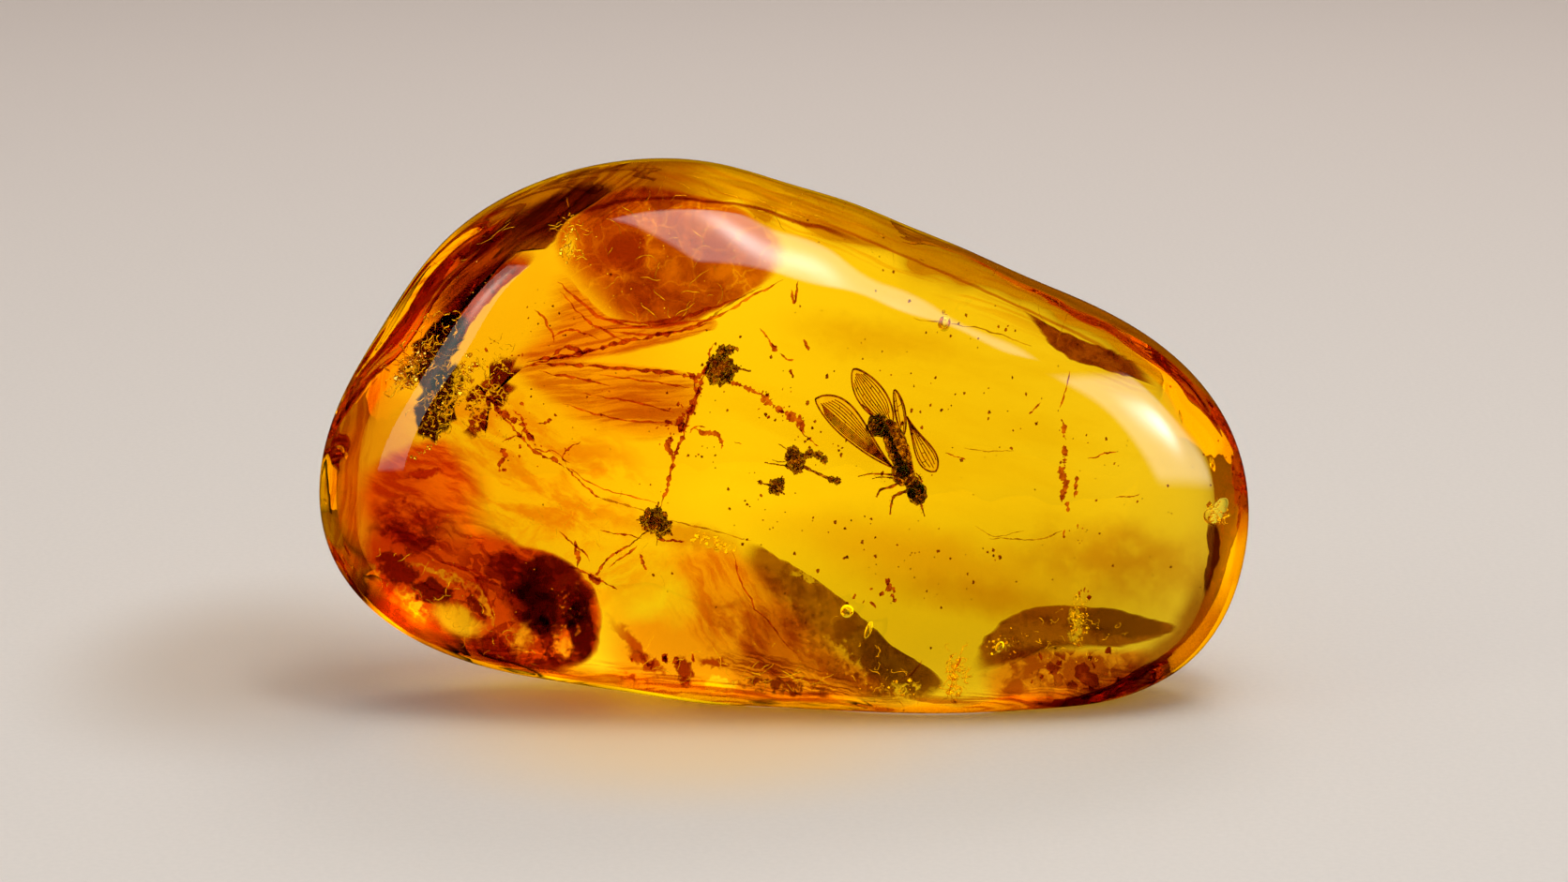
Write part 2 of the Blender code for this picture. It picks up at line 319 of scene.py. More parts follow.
class Graph:
    """A material and the nodes that make it."""

    def __init__(self, name: str) -> None:
        """Args:
            name: The material's name.
        """
        self.material = bpy.data.materials.new(name)
        self.material.use_nodes = True
        self.tree = self.material.node_tree
        self.tree.nodes.clear()

    def add(self, kind: str, settings: dict[str, Any] | None = None,
            sockets: dict[str | int, Any] | None = None, output: str | int = 0) -> Wire:
        """Add a node.

        Args:
            kind: The node's type, without its ShaderNode prefix.
            settings: Properties to set first.
            sockets: Values or links of its input sockets, by name or number.
            output: The output that the wire stands for.

        Returns:
            A wire from that output.
        """
        node = self.tree.nodes.new("ShaderNode" + kind)
        for name, value in (settings or {}).items():
            setattr(node, name, value)
        for name, value in (sockets or {}).items():
            socket = node.inputs[name]
            if isinstance(value, Wire):
                self.tree.links.new(value.socket, socket)
            elif isinstance(value, tuple) and socket.type == "RGBA":
                socket.default_value = (*value, 1.0)
            else:
                socket.default_value = value
        return Wire(self, node.outputs[output])

    def math(self, operation: str, *values: Value) -> Wire:
        """A Math node on values."""
        return self.add("Math", {"operation": operation}, dict(enumerate(values)))

    def mix(self, factor: Value, first: Wire | Colour, second: Wire | Colour, how: str = "MIX") -> Wire:
        """A colour mix: first where factor is 0, second where it is 1."""
        settings = {"data_type": "RGBA", "blend_type": how}
        return self.add("Mix", settings, {0: factor, 6: first, 7: second}, 2)

    def times(self, first: Wire | Colour, second: Wire | Colour) -> Wire:
        """One colour multiplied by another."""
        return self.mix(1.0, first, second, "MULTIPLY")

    def smooth(self, value: Value, low: float, high: float) -> Wire:
        """A smooth step from 0 at low to 1 at high; high may be the smaller."""
        settings = {"interpolation_type": "SMOOTHSTEP"}
        if low < high:
            return self.add("MapRange", settings, {0: value, 1: low, 2: high, 3: 0.0, 4: 1.0})
        return self.add("MapRange", settings, {0: value, 1: high, 2: low, 3: 1.0, 4: 0.0})

    def seen(self) -> Wire:
        """Where on the pebble's face a point is seen, in mm."""
        return self.add("Attribute", {"attribute_name": SEEN}, None, "Vector")

    def kept(self, name: str) -> Wire:
        """A number that is kept on the vertices."""
        return self.add("Attribute", {"attribute_name": name}, None, "Fac")

    def here(self) -> Wire:
        """A point's own place, in mm."""
        place = self.add("TexCoord", None, None, "Object")
        return self.add("VectorMath", {"operation": "SCALE"}, {0: place, "Scale": 1 / MM})

    def warped(self, place: Wire, size: float, reach: float, seed: float = 0.0) -> Wire:
        """A place moved about by a soft noise."""
        noise_colour = self.add(
            "TexNoise", {"noise_dimensions": "4D"},
            {"Vector": place, "W": seed, "Scale": 1 / size, "Detail": 3.0}, "Color",
        )
        push = self.add("VectorMath", {"operation": "SUBTRACT"}, {0: noise_colour, 1: (0.5, 0.5, 0.5)})
        push = self.add("VectorMath", {"operation": "SCALE"}, {0: push, "Scale": 2 * reach})
        return self.add("VectorMath", {"operation": "ADD"}, {0: place, 1: push})

    def framed(self, place: Wire, middle: Spot, reach: Spot, turn: float) -> Wire:
        """A place measured from a middle, turned back and divided by a reach."""
        sockets = {
            "Vector": place,
            "Location": (*middle, 0.0),
            "Rotation": (0.0, 0.0, radians(turn)),
            "Scale": (*reach, 1.0),
        }
        return self.add("Mapping", {"vector_type": "TEXTURE"}, sockets)

    def length(self, vector: Wire) -> Wire:
        """A vector's length."""
        return self.add("VectorMath", {"operation": "LENGTH"}, {0: vector}, "Value")

    def cloud(self, place: Wire, size: float, detail: float = 4.0, rough: float = 0.55,
              seed: float = 0.0) -> Wire:
        """A noise from about 0.2 to 0.8 with lumps of a size."""
        sockets = {"Vector": place, "W": seed, "Scale": 1 / size, "Detail": detail, "Roughness": rough}
        return self.add("TexNoise", {"noise_dimensions": "4D"}, sockets)

    def streaks(self, place: Wire, turn: float, long: float, wide: float, seed: float = 0.0) -> Wire:
        """A noise drawn out along a direction."""
        laid = self.framed(place, (0.0, 0.0), (long, wide), turn)
        return self.cloud(laid, 1.0, 5.0, 0.6, seed)

    def veins(self, place: Wire, size: float, width: float, seed: float = 0.0) -> Wire:
        """Thin lines between cells of a size: 1 on a line, 0 off it."""
        sockets = {"Vector": place, "W": seed, "Scale": 1 / size, "Randomness": 1.0}
        settings = {"feature": "DISTANCE_TO_EDGE", "voronoi_dimensions": "4D"}
        edge = self.add("TexVoronoi", settings, sockets, "Distance")
        return self.smooth(edge, width / size, 0.0)

    def shards(self, place: Wire, size: float, seed: float = 0.0) -> Wire:
        """Angular cells of a size, each with a value of its own from 0 to 1."""
        sockets = {"Vector": place, "W": seed, "Scale": 1 / size}
        cells = self.add("TexVoronoi", {"voronoi_dimensions": "4D"}, sockets, "Color")
        return self.add("SeparateColor", None, {0: cells})

    def clear(self, colour: Wire | Colour, index: float = 1.0, roughness: float = 0.0) -> Wire:
        """A clear shader of a colour, which bends no light while its index is 1."""
        return self.add("BsdfPrincipled", None, {
            "Base Color": colour, "Roughness": roughness, "IOR": index, "Transmission Weight": 1.0,
        })

    def finish(self, shader: Wire, volume: Wire | None = None) -> Material:
        """Join a surface, and maybe a volume, to the output, and return the material."""
        node = self.tree.nodes.new("ShaderNodeOutputMaterial")
        self.tree.links.new(shader.socket, node.inputs["Surface"])
        if volume is not None:
            self.tree.links.new(volume.socket, node.inputs["Volume"])
        return self.material


# -------------------- finishes


class Grain(Enum):
    """How the body of a stain is broken up."""

    PLAIN = auto()
    CLOUD = auto()
    STREAKS = auto()
    VEINS = auto()
    WEB = auto()
    SHARDS = auto()


PLAIN, CLOUD, STREAKS, VEINS, WEB, SHARDS = Grain


@dataclass(frozen=True)
class StainOrShade:
    """A patch of colour: a stain in a flow of resin, or shade painted round the pebble's rim.

    tint is what it lets through, middle and reach its ellipse on the pebble's face, turned by turn
    degrees. soft is the share of the reach that its edge takes, and wander how far the edge strays.
    size is the grain's size, and its second number a streak's or a vein's width. ring holds the shares
    of the way out to the rim where the stain begins and is full, and, if it ends, starts to fade and
    has ended.
    """

    tint: Colour
    middle: Spot
    reach: Spot
    turn: float = 0.0
    soft: float = 0.4
    wander: float = 0.6
    strength: float = 1.0
    grain: Grain = PLAIN
    size: Spot = (2.0, 0.8)
    span: Spot = (0.42, 0.6)
    lay: float = 0.0
    seed: float = 0.0
    ring: tuple[float, ...] = ()

    def mask(self, graph: Graph, place: Wire, out: Wire) -> Wire:
        """How much of the stain or painted shade there is at a place, 0 to 1; out is how far out that is."""
        edge = graph.warped(place, max(min(self.reach), 0.6) * 0.7, self.wander, self.seed)
        off = graph.length(graph.framed(edge, self.middle, self.reach, self.turn))
        body = graph.smooth(off, 1.0, 1.0 - self.soft) * self.strength
        if self.ring:
            body = body * graph.smooth(out, *self.ring[:2])
        if len(self.ring) > 2:
            body = body * graph.smooth(out, *self.ring[:1:-1])
        if self.grain is PLAIN:
            return body
        if self.grain is VEINS:
            place = graph.warped(place, 0.35, 0.22, self.seed)
            return body * graph.veins(place, *self.size, self.seed)
        if self.grain is WEB:
            place = graph.warped(graph.warped(place, 1.6, 0.9, self.seed), 0.3, 0.14, self.seed)
            return body * (1 - graph.veins(place, *self.size, self.seed))
        if self.grain is CLOUD:
            pattern = graph.cloud(edge, self.size[0], 5.0, 0.6, self.seed)
        elif self.grain is SHARDS:
            pattern = graph.shards(graph.warped(place, 0.5, 0.15, self.seed), self.size[0], self.seed)
        else:
            pattern = graph.streaks(edge, self.lay, *self.size, self.seed)
        return body * graph.smooth(pattern, *self.span)


@dataclass(frozen=True)
class AmberFinish:
    """Clear amber: refraction and absorption, and painted shade round its rim, which stands in for the
    darkening of light on its long way through the rim.

    Rates are per metre, for red, green and blue.
    """

    index: float = 1.54
    roughness: float = 0.01
    absorption: tuple[float, float, float] = (4.5, 19.5, 320.0)
    # Painted shade: darker tints round the rim, darkest at the lower left, in place of the shade that long
    # light paths give there.
    painted_rim_shade: tuple[StainOrShade, ...] = (
        StainOrShade((0.95, 0.82, 0.5), (0, 0.03), (40, 40), ring=(0.95, 0.985)),
        StainOrShade((0.56, 0.26, 0.2), (-17.92, -11.55), (13, 6), -24, 0.4, 0.4, ring=(0.93, 0.965)),
        StainOrShade((0.34, 0.14, 0.2), (-20.33, -11.05), (5.5, 3.5), -38, 0.5, 0.4, ring=(0.94, 0.97)),
        StainOrShade((0.46, 0.38, 0.3), (9.26, -15.07), (19, 5), 0, 0.3, 0.4, ring=(0.93, 0.97)),
        StainOrShade((0.66, 0.56, 0.3), (-24.96, -3.5), (3.5, 8), 10, 0.4, 0.4, ring=(0.93, 0.96)),
    )

    def build(self) -> Material:
        """The material."""
        graph = Graph("clear_amber")
        place, out = graph.seen(), graph.kept(OUT)
        tint = WHITE
        # Lay the painted rim shade on the clear amber's colour.
        for stain_or_shade in self.painted_rim_shade:
            tint = graph.times(tint, graph.mix(stain_or_shade.mask(graph, place, out), WHITE, stain_or_shade.tint))
        shader = graph.clear(tint, self.index, self.roughness)
        density = max(self.absorption)
        colour = tuple(1 - rate / density for rate in self.absorption)
        volume = graph.add("VolumeAbsorption", None, {"Color": colour, "Density": density})
        return graph.finish(shader, volume)


@dataclass(frozen=True)
class FlowFinish:
    """A flow inside the amber that only colours the light that crosses it.

    base is the colour of its whole body and stains are laid on it. clear are gaps in it, which show
    their own tint. Light is tinted by the root of the surface's colour, and only at the flow's near
    side, so that colour is squared.
    """

    name: str
    base: Colour
    stains: tuple[StainOrShade, ...] = ()
    clear: tuple[StainOrShade, ...] = ()

    def build(self) -> Material:
        """The material."""
        graph = Graph(self.name)
        place = graph.seen()
        out = graph.kept(OUT) + 0.04 * (graph.cloud(place, 3.0, 2.0) - 0.5)
        body = graph.kept(FADE)
        window = WHITE
        for gap in self.clear:
            mask = gap.mask(graph, place, out)
            body = body * (1 - mask)
            if gap.tint != WHITE:
                window = graph.mix(mask, window, gap.tint)
        colour = graph.mix(body, WHITE, self.base)
        if window != WHITE:
            colour = graph.times(colour, window)
        for stain_or_shade in self.stains:
            tinted = graph.mix(stain_or_shade.mask(graph, place, out) * body, WHITE, stain_or_shade.tint)
            colour = graph.times(colour, tinted)
        return graph.finish(graph.clear(graph.times(colour, colour)))


@cache
def far_side() -> Material:
    """What the far side of every flow wears, which lets all light through."""
    graph = Graph("flow_far_side")
    return graph.finish(graph.clear(WHITE))


@dataclass(frozen=True)
class VeilFinish:
    """Thin plant or insect matter that light comes through, uneven in colour."""

    name: str
    dark: Colour
    light: Colour
    size: float = 0.3
    span: Spot = (0.38, 0.62)
    index: float = 1.0
    roughness: float = 0.0

    def build(self) -> Material:
        """The material."""
        graph = Graph(self.name)
        lumps = graph.cloud(graph.here(), self.size, 5.0)
        colour = graph.mix(graph.smooth(lumps, *self.span), self.dark, self.light)
        return graph.finish(graph.clear(colour, self.index, self.roughness))


@dataclass(frozen=True)
class GoldFinish:
    """The bright gold of thin cracks and flecks that mirror the light."""

    colour: Colour = (1.0, 0.62, 0.10)
    roughness: float = 0.22

    def build(self) -> Material:
        """The material."""
        graph = Graph("gold_flecks")
        tone = graph.cloud(graph.here(), 0.25)
        colour = graph.mix(graph.smooth(tone, 0.35, 0.65), self.colour, tuple(c * 0.6 for c in self.colour))
        shader = graph.add("BsdfPrincipled", None, {
            "Base Color": colour, "Roughness": self.roughness, "Metallic": 1.0,
        })
        return graph.finish(shader)


Finish = VeilFinish | GoldFinish
GOLD = GoldFinish()
RED_CRACK = VeilFinish("red_cracks", (0.3, 0.035, 0.01), (0.74, 0.26, 0.03), 0.35)
ORANGE_CRACK = VeilFinish("orange_cracks", (0.5, 0.12, 0.02), (0.85, 0.36, 0.05), 0.5)
RESIN_LINE = VeilFinish("resin_lines", (0.45, 0.28, 0.05), (0.75, 0.55, 0.2), 1)
DARK_SPECK = VeilFinish("dark_specks", (0.12, 0.02, 0.01), (0.45, 0.16, 0.03), 0.3)
CHITIN_BROWN = VeilFinish(
    "chitin_brown", (0.05, 0.006, 0.001), (0.8, 0.42, 0.07), 0.17, (0.44, 0.6), 1.12, 0.12
)
CHITIN_DARK = VeilFinish("chitin_dark", (0.012, 0.002, 0), (0.55, 0.2, 0.03), 0.11, (0.48, 0.62), 1.15, 0.15)
WING_SKIN = VeilFinish("wing_skin", (0.93, 0.74, 0.34), (0.99, 0.9, 0.6), 0.4)
WING_VEINS = VeilFinish("wing_veins", (0.12, 0.028, 0.005), (0.36, 0.12, 0.015), 0.3)
LIMBS = VeilFinish("limbs", (0.1, 0.014, 0.004), (0.55, 0.18, 0.02), 0.3)
BARK = VeilFinish("bark", (0.14, 0.03, 0.004), (0.8, 0.42, 0.06), 0.14, (0.46, 0.66), 1.12, 0.2)


# -------------------- meshes


@dataclass(frozen=True)
class Ball:
    """A lumpy ellipsoid: its middle and radii, its turn in degrees about Y from +Z towards +X, how high
    and fine its lumps are, and the level of its mesh."""

    middle: Point
    radii: Point
    turn: float = 0.0
    lumps: float = 0.0
    grain: float = 1.0
    level: int = 3


@dataclass
class MeshParts:
    """Points in mm and faces that are gathered for one object."""

    points: list[Array] = field(default_factory=list)
    faces: list[tuple[int, ...]] = field(default_factory=list)
    count: int = 0

    def add(self, points: Array, faces: Iterable[Sequence[int]]) -> None:
        """Add a closed shape.

        Args:
            points: (n, 3) points in mm.
            faces: Its faces, as numbers of those points.
        """
        points = np.asarray(points, float).reshape(-1, 3)
        self.points.append(points)
        self.faces += [tuple(int(k) + self.count for k in face) for face in faces]
        self.count += len(points)

    def tube(self, path: Array, radii: Array, sides: int = 6, flat: float = 1.0) -> None:
        """Add a closed tube along a path; flat squeezes it along the line of sight."""
        path, radii = np.asarray(path, float), np.asarray(radii, float)
        along = np.gradient(path, axis=0)
        along /= np.linalg.norm(along, axis=1, keepdims=True) + 1e-12
        side = np.cross(along, (0.0, 1.0, 0.0))
        short = np.linalg.norm(side, axis=1) < 0.2
        side[short] = np.cross(along[short], (1.0, 0.0, 0.0))
        side /= np.linalg.norm(side, axis=1, keepdims=True)
        lift = np.cross(side, along)
        turn = np.linspace(0, 2 * pi, sides, endpoint=False)
        rings = path[:, None] + radii[:, None, None] * (
            np.cos(turn)[None, :, None] * side[:, None] + flat * np.sin(turn)[None, :, None] * lift[:, None]
        )
        points = np.vstack((rings.reshape(-1, 3), path[:1], path[-1:]))
        faces = grid_faces(len(path), sides, True)
        start, end = len(points) - 2, len(points) - 1
        for k in range(sides):
            after = (k + 1) % sides
            faces += [(start, k, after), (end, start - sides + after, start - sides + k)]
        self.add(points, faces)

    def ball(self, ball: Ball, base: Point = (0, 0, 0)) -> None:
        """Add a lumpy ellipsoid, whose middle is measured from a base."""
        middle = np.array(base) + ball.middle
        bm = bmesh.new()
        bmesh.ops.create_icosphere(bm, subdivisions=ball.level, radius=1.0)
        place = Matrix.Translation(middle) @ Matrix.Rotation(radians(ball.turn), 4, "Y")
        points = []
        for vert in bm.verts:
            grow = 1 + ball.lumps * noise.noise(vert.co * ball.grain + Vector(middle) * 3)
            points.append(place @ Vector(c * r * grow for c, r in zip(vert.co, ball.radii)))
        bm.verts.ensure_lookup_table()
        self.add(np.array(points), [[v.index for v in f.verts] for f in bm.faces])
        bm.free()

    def build(self, name: str, material: Material, slot: str) -> Object:
        """Make the object, which rides on the body and doesn't show in inner mirrorings."""
        obj = new_object(name, np.vstack(self.points), self.faces, material)
        obj.visible_glossy = False
        return settle(obj, slot)


def set_out(name: str, data: bpy.types.ID) -> Object:
    """An object of some finished data, in the scene."""
    obj = bpy.data.objects.new(name, data)
    bpy.context.scene.collection.objects.link(obj)
    return obj


def new_object(name: str, verts: Array, faces: Sequence[Sequence[int]], material: Material) -> Object:
    """An object from points in mm and faces, at the origin and shaded smooth, its faces outwards.

    Args:
        name: The object's name.
        verts: (n, 3) points in mm.
        faces: Vertex numbers of each face.
        material: Its material.

    Returns:
        The object.
    """
    mesh = bpy.data.meshes.new(name)
    mesh.from_pydata((np.asarray(verts) * MM).tolist(), [], [list(f) for f in faces])
    mesh.materials.append(material)
    bm = bmesh.new()
    bm.from_mesh(mesh)
    bmesh.ops.recalc_face_normals(bm, faces=bm.faces)
    bm.to_mesh(mesh)
    bm.free()
    mesh.shade_smooth()
    return set_out(name, mesh)


def keep(obj: Object, name: str, values: Array) -> None:
    """Keep a number or a vector on each vertex of an object."""
    values = np.asarray(values, np.float32)
    if values.ndim == 1:
        layer = obj.data.attributes.new(name, "FLOAT", "POINT")
        layer.data.foreach_set("value", values)
    else:
        layer = obj.data.attributes.new(name, "FLOAT_VECTOR", "POINT")
        layer.data.foreach_set("vector", np.hstack((values, np.zeros((len(values), 1)))).ravel())


def settle(obj: Object, slot: str) -> Object:
    """Make a finished piece ride on the body."""
    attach(obj, BODY)
    LOG.info("%s: %d faces", obj.name, len(obj.data.polygons))
    return obj


def curve_through(points: Array, steps: int, closed: bool = False) -> Array:
    """A smooth curve through some points.

    Args:
        points: (n, k) points.
        steps: Samples between each two points.
        closed: Whether it runs back to its start.

    Returns:
        The sampled points.
    """
    points = np.asarray(points, float)
    if closed:
        ends = np.vstack((points[-1:], points, points[:2]))
    else:
        ends = np.vstack((2 * points[0] - points[1], points, 2 * points[-1] - points[-2]))
    t = np.linspace(0, 1, steps, endpoint=False)[:, None]
    out = []
    for a, b, c, d in zip(ends, ends[1:], ends[2:], ends[3:]):
        bend, twist = 2 * a - 5 * b + 4 * c - d, 3 * b - a - 3 * c + d
        out.append(0.5 * (2 * b + (c - a) * t + bend * t**2 + twist * t**3))
    if not closed:
        out.append(points[-1:])
    return np.vstack(out)


def rows(kind: type[Row], table: Iterable[tuple[Any, ...]]) -> tuple[Row, ...]:
    """An object of a kind for each row of a table, whose columns are its fields in order."""
    return tuple(kind(*row) for row in table)


def grid_faces(lines: int, across: int, closed: bool = False) -> list[tuple[int, ...]]:
    """The faces between points that lie in lines.

    Args:
        lines: How many lines of points there are.
        across: How many points each has.
        closed: Whether each line runs round to its start.

    Returns:
        The four point numbers of each face.
    """
    faces = []
    for low in range(0, (lines - 1) * across, across):
        for k in range(across if closed else across - 1):
            after = (k + 1) % across
            faces.append((low + k, low + across + k, low + across + after, low + after))
    return faces


def wobble(place: Array, seed: float, size: float) -> Array:
    """A soft noise in two directions at each of some (n, 2) places."""
    seeds = (seed, seed + 9.7)
    return np.array([[noise.noise(Vector((u / size, v / size, w))) for w in seeds] for u, v in place])


# -------------------- the amber


@dataclass(frozen=True)
class Bubble:
    """A gas bubble or a thin gas-filled crack: where it is seen, its depth, its radii and its tilt."""

    seen: Spot
    depth: float
    radii: Point
    tilt: Point = (0.0, 0.0, 0.0)


@dataclass
class Pebble:
    """The whole clear pebble, which stands for both of its halves, with the bubbles in it."""

    form: PebbleForm = FORM
    finish: AmberFinish = AmberFinish()
    subdivisions: int = 7
    soft_ripple: float = 0.05
    line_ripple: float = 0.07
    bubbles: tuple[Bubble, ...] = (
        Bubble((8.61, 6.32), -1.0, (0.34, 0.34, 0.34)),
        Bubble((8.56, 6.92), -1.0, (0.08, 0.08, 0.12)),
        Bubble((3.37, -9.13), -1.5, (0.34, 0.3, 0.32)),
        Bubble((4.53, -10.14), -1.5, (0.16, 0.16, 0.42), (0.0, 0.35, 0.0)),
        Bubble((11.58, -11.05), -1.0, (0.2, 0.15, 0.26), (0.0, 0.5, 0.0)),
        Bubble((23.35, -3.75), 0.0, (0.5, 0.05, 0.7), (0.5, 0.2, 0.9)),
        Bubble((22.95, -4.1), 0.8, (0.4, 0.04, 0.3), (-0.4, 0.7, 0.4)),
    )

    def ripple(self, directions: Array) -> Array:
        """How far the surface stands off its form along each direction, in mm."""
        soft = np.array([noise.noise(Vector(d) * 2.3) for d in directions])
        lines = np.array([noise.noise(Vector((d[0] * 2.1, d[1] * 15, d[2] * 2.1 + 4))) for d in directions])
        rim = np.clip((directions[:, 1] + 0.42) * 5, 0, 1)
        return self.soft_ripple * soft * (0.3 + rim) + self.line_ripple * lines * rim

    def add_bubble(self, bm: bmesh.types.BMesh, bubble: Bubble) -> None:
        """Add a bubble's wall, whose faces look into the bubble."""
        turn = Matrix.Rotation(bubble.tilt[0], 4, "X") @ Matrix.Rotation(bubble.tilt[1], 4, "Y")
        turn = turn @ Matrix.Rotation(bubble.tilt[2], 4, "Z")
        middle = SIGHT.spot(*bubble.seen, bubble.depth) * MM
        made = bmesh.ops.create_icosphere(bm, subdivisions=4, radius=1.0)["verts"]
        for vert in made:
            grow = 1 + 0.06 * noise.noise(vert.co * 1.7 + middle * 900)
            spot = Vector(c * r * grow * MM for c, r in zip(vert.co, bubble.radii))
            vert.co = middle + (turn @ spot)
        inner = {face for vert in made for face in vert.link_faces}
        bmesh.ops.reverse_faces(bm, faces=list(inner))

    def build(self) -> Object:
        """Make the pebble and dress it."""
        bm = bmesh.new()
        bmesh.ops.create_icosphere(bm, subdivisions=self.subdivisions, radius=1.0)
        directions = np.array([v.co.normalized() for v in bm.verts])
        places = self.form.surface(directions) + directions * self.ripple(directions)[:, None]
        places[:, 2] = self.form.settled(places[:, 2])
        for vert, place in zip(bm.verts, places * MM):
            vert.co = place
        for bubble in self.bubbles:
            self.add_bubble(bm, bubble)
        mesh = bpy.data.meshes.new("amber_pebble")
        bm.to_mesh(mesh)
        bm.free()
        mesh.materials.append(self.finish.build())
        mesh.shade_smooth()
        obj = set_out("amber_pebble", mesh)
        seen = SIGHT.face(np.array([v.co for v in mesh.vertices]) / MM)
        keep(obj, SEEN, seen)
        keep(obj, OUT, SIGHT.share(seen))
        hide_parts("amber_front", "amber_back")
        return settle(obj, "amber")


# -------------------- flows


@dataclass
class Flow:
    """A lens of stained resin inside the pebble.

    outline holds places on the face and how soft the edge is there, and is empty for a flow that
    spans the whole pebble. A hole is the share of the way out that the flow leaves open.
    """

    name: str
    depth: float
    base: Colour
    outline: tuple[tuple[float, float, float], ...] = ()
    stains: tuple[StainOrShade, ...] = ()
    clear: tuple[StainOrShade, ...] = ()
    thick: float = 0.25
    sway: float = 0.12
    stray: float = 0.12
    rings: int = 14
    whole_rings: int = 40
    whole_spokes: int = 160
    whole_softness: float = 0.06
    reach: float = 0.99
    stands_for: str = ""
    hole: float = 0.0

    def rim(self) -> tuple[Array, Array]:
        """The edge's places on the face, and how soft it is at each."""
        if not self.outline:
            angle = np.linspace(0, 2 * pi, self.whole_spokes, endpoint=False)
            radius = FORM.outline(angle) * self.reach
            place = np.stack((radius * np.cos(angle), radius * np.sin(angle)), axis=1)
            return place, np.full(len(angle), self.whole_softness)
        curve = curve_through(np.array(self.outline), 9, True)
        return curve[:, :2] + self.stray * wobble(curve[:, :2], self.depth, 0.5), curve[:, 2]

    def shares(self) -> Array:
        """How far out each ring of points is, closer together towards the rim."""
        rings = self.rings if self.outline else self.whole_rings
        return 1 - (1 - np.arange(1, rings + 1) / rings) ** 1.5

    def build(self) -> Object:
        """Make the flow and dress it."""
        rim, soft = self.rim()
        middle = rim.mean(axis=0)
        spokes = len(rim)
        share = np.linspace(self.hole, 1, self.rings) if self.hole else self.shares()
        seen = (middle + share[:, None, None] * (rim - middle)[None]).reshape(-1, 2)
        fade = np.clip((1 - share[:, None]) / np.maximum(soft, 0.02)[None], 0, 1).ravel()
        across = np.repeat((share - self.hole) / (1 - self.hole), spokes)
        swell = self.thick / 2 * np.sqrt(np.clip(1 - (2 * across - 1 if self.hole else across) ** 2, 0, 1))
        if self.hole:
            fade[:] = 1.0
        else:
            seen = np.vstack((seen, middle))
            fade = np.append(fade, 1.0)
            swell = np.append(swell, self.thick / 2)
        depth = self.depth + self.sway * wobble(seen, self.depth, 6.0)[:, 0]
        inner = [k for k in range(len(seen)) if swell[k] > 0]
        front = SIGHT.place(seen, depth - swell)
        points = np.vstack((front, SIGHT.place(seen[inner], (depth + swell)[inner])))
        back = {k: len(seen) + number for number, k in enumerate(inner)}
        near = grid_faces(len(share), spokes, True)
        if not self.hole:
            near += [(len(seen) - 1, k, (k + 1) % spokes) for k in range(spokes)]
        faces = near + [tuple(back.get(k, k) for k in face) for face in near]
        finish = FlowFinish(self.name, self.base, self.stains, self.clear)
        obj = new_object(self.name, points, faces, finish.build())
        obj.data.materials.append(far_side())
        obj.data.polygons.foreach_set("material_index", [0] * len(near) + [1] * len(near))
        out = np.append(np.repeat(share, spokes), 0.0)[: len(seen)]
        keep(obj, SEEN, np.vstack((seen, seen[inner])))
        fade = fade * fade * (3 - 2 * fade)
        keep(obj, FADE, np.append(fade, fade[inner]))
        keep(obj, OUT, np.append(out, out[inner]))
        obj.visible_glossy = False
        if self.stands_for:
            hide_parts(self.stands_for)
        return settle(obj, "debris" if self.stands_for else "amber")


